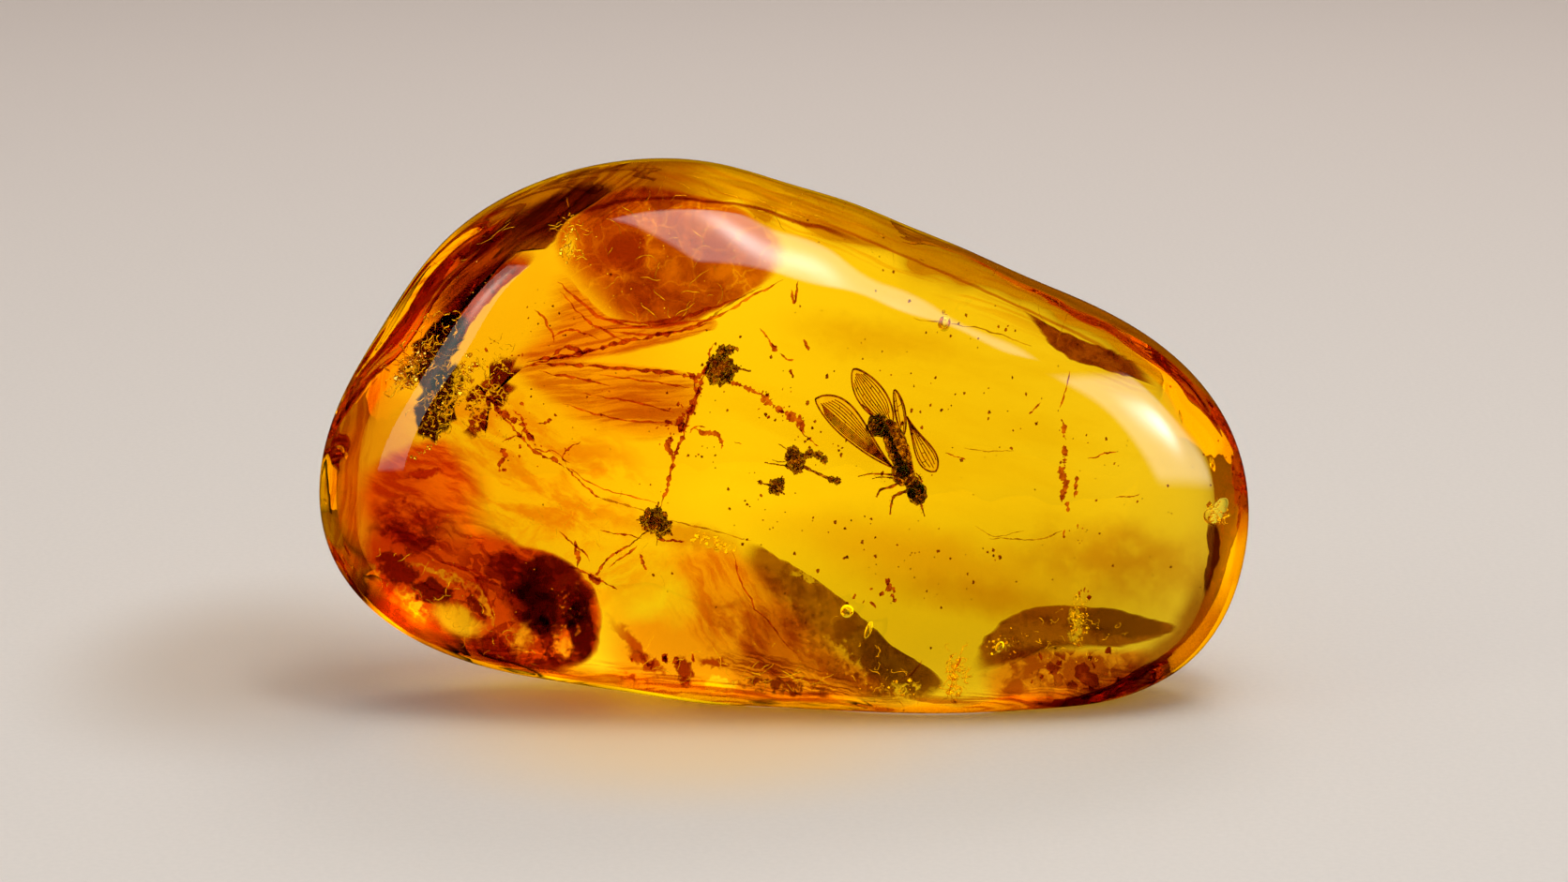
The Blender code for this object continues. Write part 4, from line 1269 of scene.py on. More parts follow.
RED_CRACKS = rows(Strand, (
    (((-3.77, 5.26), (-4.23, 3.75), (-4.78, 2.24), (-5.28, 0.83)), 0.13, -0.4, 0.16, 1),
    (((-5.28, 0.83), (-5.74, -0.48), (-6.14, -1.89), (-6.59, -3.55)), 0.11, -0.4, 0.14, 0.9),
    (((-4.08, 3.95), (-4.43, 3.6), (-4.73, 3.35), (-5.23, 3.65)), 0.16, -0.6),
    (((-4.63, 3.35), (-4.83, 2.94), (-4.43, 2.54)), 0.12, -0.6),
    (((-4.93, 2.04), (-5.33, 1.48), (-5.54, 0.93), (-5.23, 0.43)), 0.22, -0.5, 0.2, 1),
    (((-5.49, 0.78), (-6.04, 0.93), (-6.49, 1.08)), 0.1, -0.5),
    (((-6.04, 0.23), (-6.24, -0.28), (-5.94, -0.78)), 0.18, -0.5),
    (((-13.79, 4.25), (-11.37, 4.6), (-8.86, 5.26), (-6.34, 5.71), (-3.98, 6.32)), 0.11, -1.2, 0.14,
     0.8),
    (((-14.09, 3.95), (-12.38, 4.4), (-10.77, 4.66), (-9.36, 5.16)), 0.08, -1, 0.14),
    (((-13.89, 4.05), (-11.88, 4.1), (-8.86, 3.9), (-6.09, 3.65), (-4.48, 3.35)), 0.1, -0.9, 0.12, 0.9),
    (((-13.14, 3.75), (-10.87, 3.35), (-9.36, 2.94)), 0.07, -0.9),
    (((-12.38, 4.55), (-11.68, 5.06), (-10.77, 4.71)), 0.12, -1.2),
    (((-15.35, 1.48), (-14.44, 0.58), (-13.49, -0.53), (-12.58, -0.88), (-11.68, -1.38)), 0.09, -1.5,
     0.22, 0.9),
    (((-14.04, 1.08), (-13.79, 0.48), (-13.39, -0.13)), 0.16, -1.5, 0.2, 0.9),
    (((-14.44, 1.74), (-14.09, 1.18), (-13.59, 0.43), (-13.29, 0.03)), 0.07, -1.5, 0.2),
    (((-15.35, -0.38), (-15.05, -0.83), (-15.2, -1.38), (-14.85, -1.64)), 0.12, -1.6, 0.25, 1),
    (((-11.68, -1.38), (-11.88, -0.88), (-11.58, -0.38), (-10.97, -0.03)), 0.06, -1.5, 0.2),
    (((-13.49, -0.53), (-12.78, -0.48), (-12.08, -0.78), (-11.58, -1.08)), 0.05, -1.5, 0.2),
    (((-11.68, -1.38), (-11.17, -1.94), (-10.37, -2.69), (-9.86, -3.04)), 0.07, -1.2, 0.12),
    (((-16.1, 2.54), (-15.4, 1.94), (-14.85, 1.33), (-14.09, 1.03)), 0.14, -2, 0.22, 1),
    (((-15.1, 0.03), (-14.29, 0.33), (-13.89, 0.73)), 0.05, -1.6, 0.2),
    (((-13.19, 0.93), (-12.68, 0.93), (-12.48, 1.23)), 0.08, -1.4, 0.2),
    (((-10.17, -7.37), (-10.87, -6.92), (-11.68, -6.82)), 0.07, -0.8, 0.12),
    (((-10.17, -7.37), (-9.61, -7.62), (-8.96, -7.98)), 0.07, -0.8, 0.12),
    (((-10.17, -7.37), (-9.76, -6.67), (-8.86, -5.91), (-7.9, -5.36)), 0.08, -0.7, 0.12),
    (((-9.36, -6.82), (-8.66, -6.22), (-7.85, -5.66)), 0.05, -0.7, 0.12),
    (((-10.47, -7.17), (-10.07, -7.52), (-9.86, -7.37)), 0.2, -0.8),
    (((-7.75, -6.01), (-7.55, -6.57), (-7.35, -6.82)), 0.1, -0.6, 0.15),
    (((-9.86, -4.81), (-8.66, -5.01), (-7.65, -5.21)), 0.04, -0.5, 0.08),
    (((-6.84, -5.26), (-6.04, -5.36), (-5.33, -5.41)), 0.07, -0.5),
    (((-12.08, -4.91), (-11.27, -5.51), (-10.37, -6.42)), 0.06, -1, 0.12),
    (((-11.27, -5.41), (-10.97, -6.11), (-11.07, -6.82)), 0.12, -1.2, 0.2),
    (((-3.17, 3.2), (-2.21, 2.94), (-1.21, 2.49)), 0.11, -0.5, 0.12, 1),
    (((-1.41, 2.64), (-0.91, 2.19), (-0.45, 1.89), (0, 1.53)), 0.2, -0.5, 0.15, 1),
    (((-0.3, 1.69), (0.35, 1.38), (0.91, 0.93), (1.11, 0.53)), 0.15, -0.5, 0.18, 1),
    (((0.6, 0.93), (1.01, 0.43), (1.66, -0.13), (1.91, -0.28)), 0.05, -0.5),
    (((-1.26, 6.01), (-0.81, 5.46), (-0.4, 5.01)), 0.05, -0.3, 0.08),
    (((-0.75, 5.31), (-0.5, 4.96), (-0.3, 4.76)), 0.18, -0.3),
    (((-0.2, 4.66), (0.2, 4.4), (0.55, 4.35)), 0.05, -0.3),
    (((1.06, 5.46), (1.26, 5.01), (1.41, 4.96)), 0.08, -0.3),
    (((0.3, 3.85), (0.5, 3.5)), 0.12, -0.3),
    (((0.35, 8.13), (0.6, 7.47), (0.75, 8.58)), 0.07, -0.8),
    (((15.35, 3.75), (15.15, 2.94), (14.85, 1.74)), 0.05, 0.2, 0.08),
    (((14.95, 1.13), (15, 0.43), (15.1, 0.03)), 0.14, 0.2, 0.12, 0.9),
    (((15, -0.18), (15.1, -0.88), (15.05, -1.33)), 0.2, 0.2, 0.12, 0.9),
    (((14.8, -1.43), (15, -1.79), (15.05, -2.59), (14.95, -3.25)), 0.18, 0.2, 0.15, 0.9),
    (((15.6, -1.89), (15.75, -2.49), (15.65, -2.99)), 0.12, 0.2, 0.2, 1),
    (((15.15, -3.3), (15.25, -3.85)), 0.14, 0.2),
    (((15.1, -4.81), (15, -5.21)), 0.08, 0.2),
    (((-4.83, 0.58), (-4.23, 0.48), (-3.57, 0.33), (-3.32, -0.08), (-3.37, -0.38)), 0.11, -0.2, 0.16,
     0.9),
    (((-5.08, 0.43), (-4.73, 0.78), (-4.23, 0.68)), 0.05, -0.2),
    (((-2.67, -0.08), (-2.32, -0.18)), 0.06, -0.2),
    (((13.74, 2.04), (13.39, 1.64), (13.14, 1.48)), 0.04, 0.4, 0.06),
    (((8.56, 6.92), (8.76, 6.62)), 0.09, -1, 0.06),
    (((8.66, -0.63), (9.26, -0.83), (9.76, -0.98)), 0.03, 0.3, 0.06),
    (((16.31, -0.98), (17.21, -0.68), (17.92, -0.53)), 0.035, 0.4, 0.12),
    (((17.82, -2.99), (18.52, -2.99), (19.12, -2.89)), 0.03, 0.4),
))
ORANGE_CRACKS = rows(Strand, (
    (((-12.13, 8.58), (-9.86, 6.67), (-7.35, 6.06)), 0.1, -1.4, 0.12),
    (((-11.98, 7.98), (-10.37, 6.32), (-8.45, 5.36)), 0.07, -1.4, 0.12),
    (((-9.86, 6.57), (-7.35, 6.32), (-4.83, 6.82), (-2.32, 7.73)), 0.1, -2),
    (((-9.36, 5.86), (-6.84, 5.71), (-4.58, 6.27), (-1.81, 7.67), (-0.05, 8.68)), 0.08, -2),
    (((-10.87, 2.54), (-8.35, 2.14), (-5.84, 1.53)), 0.06),
    (((-11.88, 2.04), (-9.36, 1.28), (-6.09, 0.93)), 0.06),
    (((-9.86, 3.55), (-7.35, 3.2), (-5.08, 2.84)), 0.05),
    (((-12.48, 5.56), (-11.37, 5.96), (-9.86, 5.46)), 0.06, -1, 0.14),
    (((-13.39, 7.07), (-12.68, 6.32), (-12.38, 5.26)), 0.06, -1, 0.12),
    (((-11.68, -1.38), (-9.86, -2.49), (-6.84, -3.3)), 0.05, -0.8),
    (((-16.76, -7.17), (-16.1, -8.03), (-15.5, -9.64)), 0.1, -3.2, 0.15),
    (((-18.42, -6.52), (-16.91, -6.82), (-15.9, -7.42)), 0.09, -3.2, 0.18),
    (((-19.93, -7.02), (-18.92, -7.93), (-18.02, -8.23)), 0.08, -3.2, 0.18),
    (((6.19, -12.91), (7, -12.36), (7.4, -11.8)), 0.05, -0.8, 0.08),
    (((9.51, -11.55), (9.16, -12.3), (8.86, -13.56)), 0.05, -0.8, 0.08),
    (((-2.82, -6.01), (-1.81, -8.53), (0.7, -11.55)), 0.05, -0.6, 0.15),
))
RESIN_LINES = rows(Strand, (
    (((11.02, -5.21), (12.28, -5.26), (13.79, -5.26), (14.9, -4.81)), 0.05, 0.6, 0.06),
    (((10.27, -4.6), (11.47, -5.11), (12.88, -4.81)), 0.03, 0.6, 0.08),
    (((-3.98, 6.52), (-3.07, 7.27), (-1.21, 8.28)), 0.06, -1.5, 0.05),
    (((-9.86, -3.04), (-8.66, -3.4), (-7.35, -3.75)), 0.06, -0.6, 0.06),
    (((-6.04, -4.3), (-3.82, -4.81), (-1.81, -5.36)), 0.05, -0.4, 0.06),
    (((7, 6.57), (10.77, 5.96), (13.29, 5.06)), 0.03, 0.8),
    (((9.76, -0.38), (11.07, -0.58), (12.28, -0.48)), 0.03, 0.8),
))
STRANDS = (
    Strands("cracks_red", RED_CRACK, RED_CRACKS),
    Strands("cracks_orange", ORANGE_CRACK, ORANGE_CRACKS),
    Strands("flow_lines", RESIN_LINE, RESIN_LINES),
)


# -------------------- gold wires


@dataclass(frozen=True)
class Tangle:
    """Short bent wires in an ellipse on the face: how many, how long and how thick, in mm."""

    middle: Spot
    reach: Spot
    count: int
    run: float
    width: float
    depth: float
    turn: float = 0.0
    bend: float = 0.8


@dataclass
class Wires:
    """The golden edges of fine cracks, as thin bent wires in tangles, most of them at the left."""

    tangles: tuple[Tangle, ...]
    seed: int = 3
    steps: int = 6

    def build(self) -> Object:
        """Make every wire in one mesh."""
        rng = np.random.default_rng(self.seed)
        parts = MeshParts()
        for tangle in self.tangles:
            turn = radians(tangle.turn)
            spin = np.array(((cos(turn), sin(turn)), (-sin(turn), cos(turn))))
            curves = []
            for _ in range(tangle.count):
                radius, angle = sqrt(rng.random()), rng.random() * 2 * pi
                start = radius * np.array((cos(angle), sin(angle))) * tangle.reach
                heading = rng.normal(0.0, 0.9) + np.cumsum(rng.normal(0.0, tangle.bend, self.steps))
                stride = tangle.run * (0.3 + rng.random()) / self.steps
                path = np.cumsum(stride * np.stack((np.cos(heading), np.sin(heading)), axis=1), axis=0)
                curves.append(curve_through((start + path) @ spin + np.array(tangle.middle), 3))
            depth = tangle.depth + 0.3 * (rng.random(tangle.count) - 0.5)
            places = SIGHT.place(np.vstack(curves), np.repeat(depth, len(curves[0])))
            for place in np.split(places, tangle.count):
                thick = tangle.width * (0.4 + 0.8 * rng.random()) / 2
                taper = np.clip(np.sin(np.linspace(0.1, pi - 0.1, len(place))) * 1.6, 0.2, 1.0)
                parts.tube(place, thick * taper, 4)
        return parts.build("gold_wires", GOLD.build(), "amber")


TANGLES = rows(Tangle, (
    ((-20.08, 3.95), (1.7, 0.9), 80, 0.9, 0.06, -1.4, 60),
    ((-18.62, 5.96), (1.8, 0.8), 30, 0.8, 0.05, -1.4, 55),
    ((-18.42, 1.94), (1.9, 1.3), 60, 0.8, 0.055, -1.4, 60),
    ((-16.16, 3.55), (2.2, 0.9), 60, 0.7, 0.045, -1.3, 60),
    ((-15.65, 1.03), (1.4, 1.4), 26, 0.6, 0.03, -1.3, 50),
    ((-11.52, 11.1), (0.6, 1.5), 26, 0.8, 0.05, -1.2),
    ((-7.35, 9.84), (6, 3), 34, 1.5, 0.03, -1.2, -10, 0.4),
    ((-13.89, 12.86), (7, 1), 26, 1.4, 0.022, -1.2, 30, 0.3),
    ((0.2, 12.86), (7.5, 0.9), 30, 1.8, 0.024, -1.2, -14, 0.3),
    ((13.79, 8.08), (6, 0.8), 26, 2, 0.024, -1, -22, 0.2),
    ((15.8, -10.54), (2.6, 1.4), 34, 0.6, 0.03, -0.8),
    ((15.8, -9.54), (0.5, 1.5), 30, 0.5, 0.035, -0.8),
    ((4.73, -12.3), (3.4, 1.2), 26, 0.8, 0.03, -0.8, -40),
    ((9.16, -12.66), (0.5, 1.3), 40, 0.9, 0.06, -0.8),
    ((23.35, -3.9), (0.5, 0.6), 30, 0.5, 0.05, -0.6),
    ((-17.92, -9.03), (5.5, 1.6), 40, 0.9, 0.028, -2.2, -35, 0.5),
    ((-3.82, -12.56), (5.5, 0.9), 44, 1.4, 0.034, -0.8, -8, 0.3),
    ((-9.86, -4.5), (5, 1.6), 22, 1.2, 0.022, -0.8, -20, 0.4),
))


# -------------------- flakes and specks


@dataclass(frozen=True)
class Patch:
    """A scatter of flakes in an ellipse on the face: how many, how large, and how deep they lie."""

    middle: Spot
    reach: Spot
    count: int
    size: Spot
    depth: float
    turn: float = 0.0
    spread: float = 0.5


@dataclass
class Scatter:
    """Flakes of one kind, placed on points by Geometry Nodes."""

    name: str
    finish: Finish
    slot: str
    seed: int
    patches: tuple[Patch, ...]
    flat: float = 0.25
    turn_low: Point = (0.0, 0.0, 0.0)
    turn_high: Point = (2 * pi, 2 * pi, 2 * pi)

    def points(self) -> tuple[Array, Array]:
        """Where each flake lies, in mm, and how large it is."""
        rng = np.random.default_rng(self.seed)
        seen, depth, size = [], [], []
        for patch in self.patches:
            radius = np.sqrt(rng.random(patch.count)) ** 1.3
            angle = rng.random(patch.count) * 2 * pi
            local = np.stack((radius * np.cos(angle), radius * np.sin(angle)), 1) * patch.reach
            turn = radians(patch.turn)
            spin = np.array(((cos(turn), -sin(turn)), (sin(turn), cos(turn))))
            seen.append(local @ spin.T + np.array(patch.middle))
            depth.append(patch.depth + patch.spread * (rng.random(patch.count) * 2 - 1))
            low, high = patch.size
            size.append(low + (high - low) * rng.random(patch.count) ** 2.2)
        return SIGHT.place(np.vstack(seen), np.concatenate(depth)), np.concatenate(size)

    def tree(self, material: Material) -> bpy.types.NodeTree:
        """The Geometry Nodes tree: a turned flake on each point, as large as the point says."""
        tree = bpy.data.node_groups.new(self.name + "_nodes", "GeometryNodeTree")
        names, kinds = ("Flake", "Seed", "Turn low", "Turn high"), ("Object", "Int", "Vector", "Vector")
        for name, kind in zip(("Geometry", *names), ("Geometry", *kinds)):
            tree.interface.new_socket(name, in_out="INPUT", socket_type="NodeSocket" + kind)
        tree.interface.new_socket("Geometry", in_out="OUTPUT", socket_type="NodeSocketGeometry")
        enter, info, size, spin, turn, place, real, dress, leave = (tree.nodes.new(kind) for kind in (
            "NodeGroupInput", "GeometryNodeObjectInfo", "GeometryNodeInputNamedAttribute",
            "FunctionNodeRandomValue", "FunctionNodeEulerToRotation", "GeometryNodeInstanceOnPoints",
            "GeometryNodeRealizeInstances", "GeometryNodeSetMaterial", "NodeGroupOutput",
        ))
        size.data_type = "FLOAT"
        size.inputs["Name"].default_value = "size"
        spin.data_type = "FLOAT_VECTOR"
        dress.inputs["Material"].default_value = material
        links = (
            (enter, "Geometry", place, "Points"), (enter, "Flake", info, "Object"),
            (info, "Geometry", place, "Instance"), (enter, "Seed", spin, "Seed"),
            (enter, "Turn low", spin, "Min"), (enter, "Turn high", spin, "Max"),
            (spin, "Value", turn, "Euler"), (turn, "Rotation", place, "Rotation"),
            (size, "Attribute", place, "Scale"), (place, "Instances", real, "Geometry"),
            (real, "Geometry", dress, "Geometry"), (dress, "Geometry", leave, "Geometry"),
        )
        for start, output, end, socket in links:
            tree.links.new(start.outputs[output], end.inputs[socket])
        return tree

    def build(self) -> Object:
        """Make the flakes and dress them."""
        material = self.finish.build()
        chip = MeshParts()
        chip.ball(Ball((0, 0, 0), (0.5, 0.5 * self.flat, 0.5), 0, 0.9, 1.6, 2))
        flake = new_object(self.name + "_one", chip.points[0], chip.faces, material)
        points, size = self.points()
        base = new_object(self.name + "_points", points, [], material)
        keep(base, "size", size)
        tree = self.tree(material)
        grow = base.modifiers.new("scatter", "NODES")
        grow.node_group = tree
        inputs = {item.name: item.identifier for item in tree.interface.items_tree if item.in_out == "INPUT"}
        values = {"Flake": flake, "Seed": self.seed, "Turn low": self.turn_low, "Turn high": self.turn_high}
        for name, value in values.items():
            grow[inputs[name]] = value
        graph = bpy.context.evaluated_depsgraph_get()
        mesh = bpy.data.meshes.new_from_object(base.evaluated_get(graph))
        mesh.name = self.name
        obj = set_out(self.name, mesh)
        obj.visible_glossy = False
        for spare in (base, flake):
            bpy.data.objects.remove(spare)
        return settle(obj, self.slot)


GOLD_FLECKS = rows(Patch, (
    ((-19.93, 4.05), (1.5, 0.7), 60, (0.06, 0.3), -4.6, 62, 0.3),
    ((-17.06, 3.3), (1.6, 0.5), 60, (0.06, 0.3), -4.4, 75, 0.3),
    ((-18.52, 2.04), (1.7, 0.6), 30, (0.05, 0.22), -4.4, 70, 0.3),
    ((-19.17, -0.38), (1.5, 0.15), 26, (0.05, 0.2), -4.2, 35, 0.2),
    ((15.8, -9.79), (0.5, 1.4), 80, (0.03, 0.16), -0.2),
    ((12.03, -10.8), (1.2, 0.8), 34, (0.03, 0.2), -0.2, 20),
    ((15.8, -11.55), (3.6, 1.4), 50, (0.02, 0.1), -0.6),
    ((23.25, -3.75), (0.5, 0.7), 26, (0.08, 0.35), 0.4, 0, 0.3),
    ((6.24, -13.31), (1.6, 0.5), 20, (0.05, 0.25), -0.6, 0, 0.4),
    ((9.16, -12.66), (0.4, 1.4), 40, (0.08, 0.4), -0.6, 0, 0.4),
    ((-3.82, -5.41), (1.5, 0.4), 40, (0.08, 0.32), -0.6, -15, 0.3),
    ((-11.52, 10.49), (0.5, 1), 26, (0.05, 0.22), -3.6, -10, 0.3),
    ((-6.84, 9.59), (6, 3.6), 60, (0.02, 0.07), -3.6, 0, 0.6),
    ((-16.91, -7.52), (6, 3.6), 70, (0.02, 0.08), -4.2, -30),
    ((-16.91, 7.83), (3.4, 1.4), 40, (0.02, 0.08), -4.2, 50, 0.4),
    ((1.71, -11.05), (5, 2.4), 40, (0.02, 0.08), -1, -40),
))
RED_FLAKES = rows(Patch, (
    ((5.49, -8.13), (2.4, 0.8), 14, (0.16, 0.44), 0.2, 10),
    ((15.9, -8.13), (0.7, 0.5), 7, (0.1, 0.24), 0.2, 0, 0.4),
    ((15.8, -4.3), (0.6, 2.2), 7, (0.06, 0.16), 0.3, 0, 0.4),
    ((-6.09, -11.85), (2.4, 0.6), 9, (0.2, 0.6), -1, -8, 0.4),
    ((-5.84, 0.78), (0.8, 1.8), 14, (0.08, 0.3), -0.5, -20, 0.3),
    ((-13.89, 0.03), (2.6, 1.6), 22, (0.05, 0.24), -1.6, -30, 0.4),
    ((-15.4, 3.55), (1.8, 2.2), 22, (0.08, 0.34), -3.2, 30, 0.4),
    ((15.8, -12.3), (3, 1.4), 24, (0.08, 0.34), -0.4),
    ((-9.86, 1.53), (5, 2.4), 12, (0.05, 0.16), -0.6, 0, 0.4),
    ((-0.05, 1.53), (2.2, 1.2), 12, (0.05, 0.18), -0.5, -35, 0.3),
))
DARK_SPECKS = rows(Patch, (
    ((3.22, -0.48), (22, 11), 130, (0.05, 0.16), 0, -10, 0.8),
    ((1.21, 0.03), (9, 7), 70, (0.06, 0.22), 0, -20, 0.8),
    ((-1.81, -3.5), (1.8, 1.3), 12, (0.07, 0.2), 0, -20, 0.4),
    ((-4.23, -0.88), (1.2, 0.8), 7, (0.07, 0.18), 0, 0, 0.4),
    ((10.77, 2.54), (5, 4), 34, (0.06, 0.2), 0.2, 0, 0.8),
    ((17.31, -2.49), (4, 3), 16, (0.05, 0.14), 0.2, 0, 0.8),
    ((6.74, -6.52), (6, 2.4), 40, (0.06, 0.22), 0, -10, 0.8),
    ((-12.88, 6.57), (1.6, 1.8), 16, (0.03, 0.12), -1.8, -10, 0.6),
    ((3.22, 11.1), (5, 0.8), 22, (0.03, 0.14), -2, -12),
))
SCATTERS = (
    Scatter("flecks_gold", GOLD, "amber", 7, GOLD_FLECKS, 0.12, (-1.25, -0.5, -0.6), (-0.45, 0.5, 0.6)),
    Scatter("flakes_red", RED_CRACK, "debris", 11, RED_FLAKES, 0.3),
    Scatter("specks_dark", DARK_SPECK, "debris", 5, DARK_SPECKS, 0.6),
)


# -------------------- the insect


@dataclass(frozen=True)
class Wing:
    """One wing: its root and tip, its width and widest place on both sides, and how many veins."""

    root: Point
    tip: Point
    upper: Spot
    lower: Spot
    veins: int = 5


@dataclass
class Insect:
    """The four-winged insect, head down and to the right. Places are in mm from its middle."""

    middle: Point = (5.75, 0.0, 13.95)
    thickness: float = 0.03
    roundness: float = 0.65
    wings: tuple[Wing, ...] = (
        Wing((-0.15, -0.3, -0.75), (-4.3, -0.45, 2.62), (0.84, 0.7), (0.46, 0.56), 11),
        Wing((-0.3, 0.2, 1), (-2.46, 0.35, 3.64), (0.62, 0.44), (0.6, 0.56), 8),
        Wing((0.3, 0.25, 0.55), (-0.3, 0.5, 2.56), (0.34, 0.46), (0.16, 0.5), 3),
        Wing((0.46, 0.15, 1.36), (1.98, 0.4, -1.12), (0.42, 0.74), (0.48, 0.7), 5),
    )
    abdomen: Point = (0.04, 0.05, 0.06)
    abdomen_size: Point = (0.56, 0.5, 1.4)
    abdomen_lean: float = radians(-26)
    abdomen_rings: int = 7
    thorax: tuple[Ball, ...] = (
        Ball((0.36, 0.05, -1.1), (0.58, 0.55, 0.66), -20, 0.16, 2.4, 4),
        Ball((0.82, 0.05, -1.56), (0.4, 0.38, 0.36), 0, 0.12, 2.4),
    )
    dark_masses: tuple[Ball, ...] = (
        Ball((1.06, 0.05, -2.08), (0.5, 0.46, 0.62), -20, 0.18, 2.6, 4),
        Ball((0.8, -0.26, -2.05), (0.24, 0.22, 0.3), -20, 0.05, 3),
        Ball((1.26, -0.22, -1.86), (0.2, 0.2, 0.26), -20, 0.05, 3),
        Ball((-1.05, -0.1, 1.14), (0.5, 0.48, 0.52), 0, 0.3, 2.2, 4),
        Ball((-0.72, 0, 0.84), (0.34, 0.32, 0.3), 0, 0.25, 2.2),
    )
    gut: tuple[Point, ...] = (
        (-0.62, -0.1, 0.95), (-0.4, -0.12, 0.66), (-0.22, -0.12, 0.35), (-0.1, -0.12, 0),
        (0.08, -0.1, -0.35), (0.28, -0.1, -0.8),
    )
    thorax_back: Ball = Ball((0.36, -0.22, -1), (0.36, 0.3, 0.34), 0, 0.3, 2.6)
    legs: tuple[tuple[tuple[Point, ...], float], ...] = (
        (((0.3, 0, -1.25), (-0.3, -0.1, -1.12), (-0.94, -0.2, -1.06), (-1.4, -0.25, -1.05),
          (-1.92, -0.25, -1.16)), 0.09),
        (((0.25, 0.1, -1.42), (-0.25, -0.1, -1.28), (-0.8, -0.2, -1.22), (-1.2, -0.2, -1.3)), 0.07),
        (((0.3, 0, -1.45), (-0.2, -0.1, -1.72), (-0.74, -0.1, -1.86), (-0.9, -0.1, -2.1),
          (-0.96, -0.1, -2.26)), 0.14),
        (((0.62, 0, -1.95), (0.2, 0.05, -2.1), (-0.1, 0.1, -2.28), (-0.22, 0.15, -2.7),
          (-0.27, 0.2, -3.2)), 0.16),
        (((1.25, 0, -2.45), (1.32, 0, -2.75), (1.36, 0, -2.9), (1.48, 0, -3.28)), 0.11),
        (((-1.1, -0.1, 1.4), (-1.35, -0.1, 1.62), (-1.55, -0.1, 1.88), (-1.9, -0.1, 2.15)), 0.13),
        (((1.32, 0, -1.55), (1.2, 0, -1.3), (1, 0, -1.1)), 0.1),
    )

    def edge(self, share: Array, width: float, widest: float) -> Array:
        """How far a wing's edge stands off its middle line."""
        bend = np.log(0.5) / np.log(widest)
        return width * np.clip(np.sin(pi * share**bend), 0, 1) ** self.roundness

    def wing_frame(self, wing: Wing) -> tuple[Vector, Vector, Vector]:
        """A wing's root in the object's frame, its run to the tip, and the direction across it."""
        root = Vector(wing.root) + Vector(self.middle)
        run = Vector(wing.tip) - Vector(wing.root)
        across = Vector((0.0, -1.0, 0.0)).cross(run).normalized()
        if across.z < 0:
            across = -across
        return root, run, across

    def wing_point(self, wing: Wing, share: float, side: float) -> Vector:
        """A point on a wing: share along it, side from -1 at its lower edge to 1 at its upper."""
        root, run, across = self.wing_frame(wing)
        width, widest = wing.upper if side > 0 else wing.lower
        off = float(self.edge(np.array(share), width, widest)) * side
        ripple = 0.03 * sin(share * 9 + side * 2.5)
        return root + run * share + across * off + Vector((0.0, ripple, 0.0))

    def membranes(self) -> Object:
        """The wings' clear skin."""
        parts = MeshParts()
        for wing in self.wings:
            along, over = 33, 9
            count = along * over
            shares = (1 - np.cos(np.linspace(0, pi, along))) / 2
            grid = np.array([
                [self.wing_point(wing, float(s), side) for side in np.linspace(-1, 1, over)] for s in shares
            ])
            thick = np.array((0.0, self.thickness / 2, 0.0))
            points = np.vstack(((grid - thick).reshape(-1, 3), (grid + thick).reshape(-1, 3)))
            rim = [*range(over), *range(2 * over - 1, count, over)]
            rim += [*range(count - 2, count - over - 1, -1), *range(count - 2 * over, 0, -over)]
            faces = grid_faces(along, over)
            faces += [tuple(k + count for k in face) for face in faces]
            faces += [(a, b, b + count, a + count) for a, b in zip(rim, rim[1:] + rim[:1])]
            parts.add(points, faces)
        return parts.build("insect_wings", WING_SKIN.build(), "insect")

    def veins(self) -> Object:
        """The wings' edges and veins."""
        parts = MeshParts()
        for wing in self.wings:
            size = Vector(wing.tip).length / 4
            for side in (-1.0, 1.0):
                path = np.array([self.wing_point(wing, s, side) for s in np.linspace(0.0, 1.0, 30)])
                parts.tube(path, np.full(30, 0.050 if side > 0 else 0.042), 5)
            for k in range(wing.veins):
                side = -0.75 + 1.5 * k / (wing.veins - 1)
                end = 0.93 - 0.12 * abs(side)
                path = np.array([
                    self.wing_point(wing, s, side * min(1.0, (s / 0.3) ** 0.5))
                    for s in np.linspace(0.02 + 0.14 * (k % 2), end, 22)
                ])
                parts.tube(path, np.linspace(0.028, 0.026, 22), 5)
                if k:
                    share = 0.35 + 0.13 * ((k * 7) % 4)
                    low = side - 1.5 / (wing.veins - 1)
                    cross = np.array([
                        self.wing_point(wing, share + 0.02 * t, low + (side - low) * t)
                        for t in np.linspace(0, 1, 5)
                    ])
                    parts.tube(cross, np.full(5, 0.02), 5)
        return parts.build("insect_veins", WING_VEINS.build(), "insect")

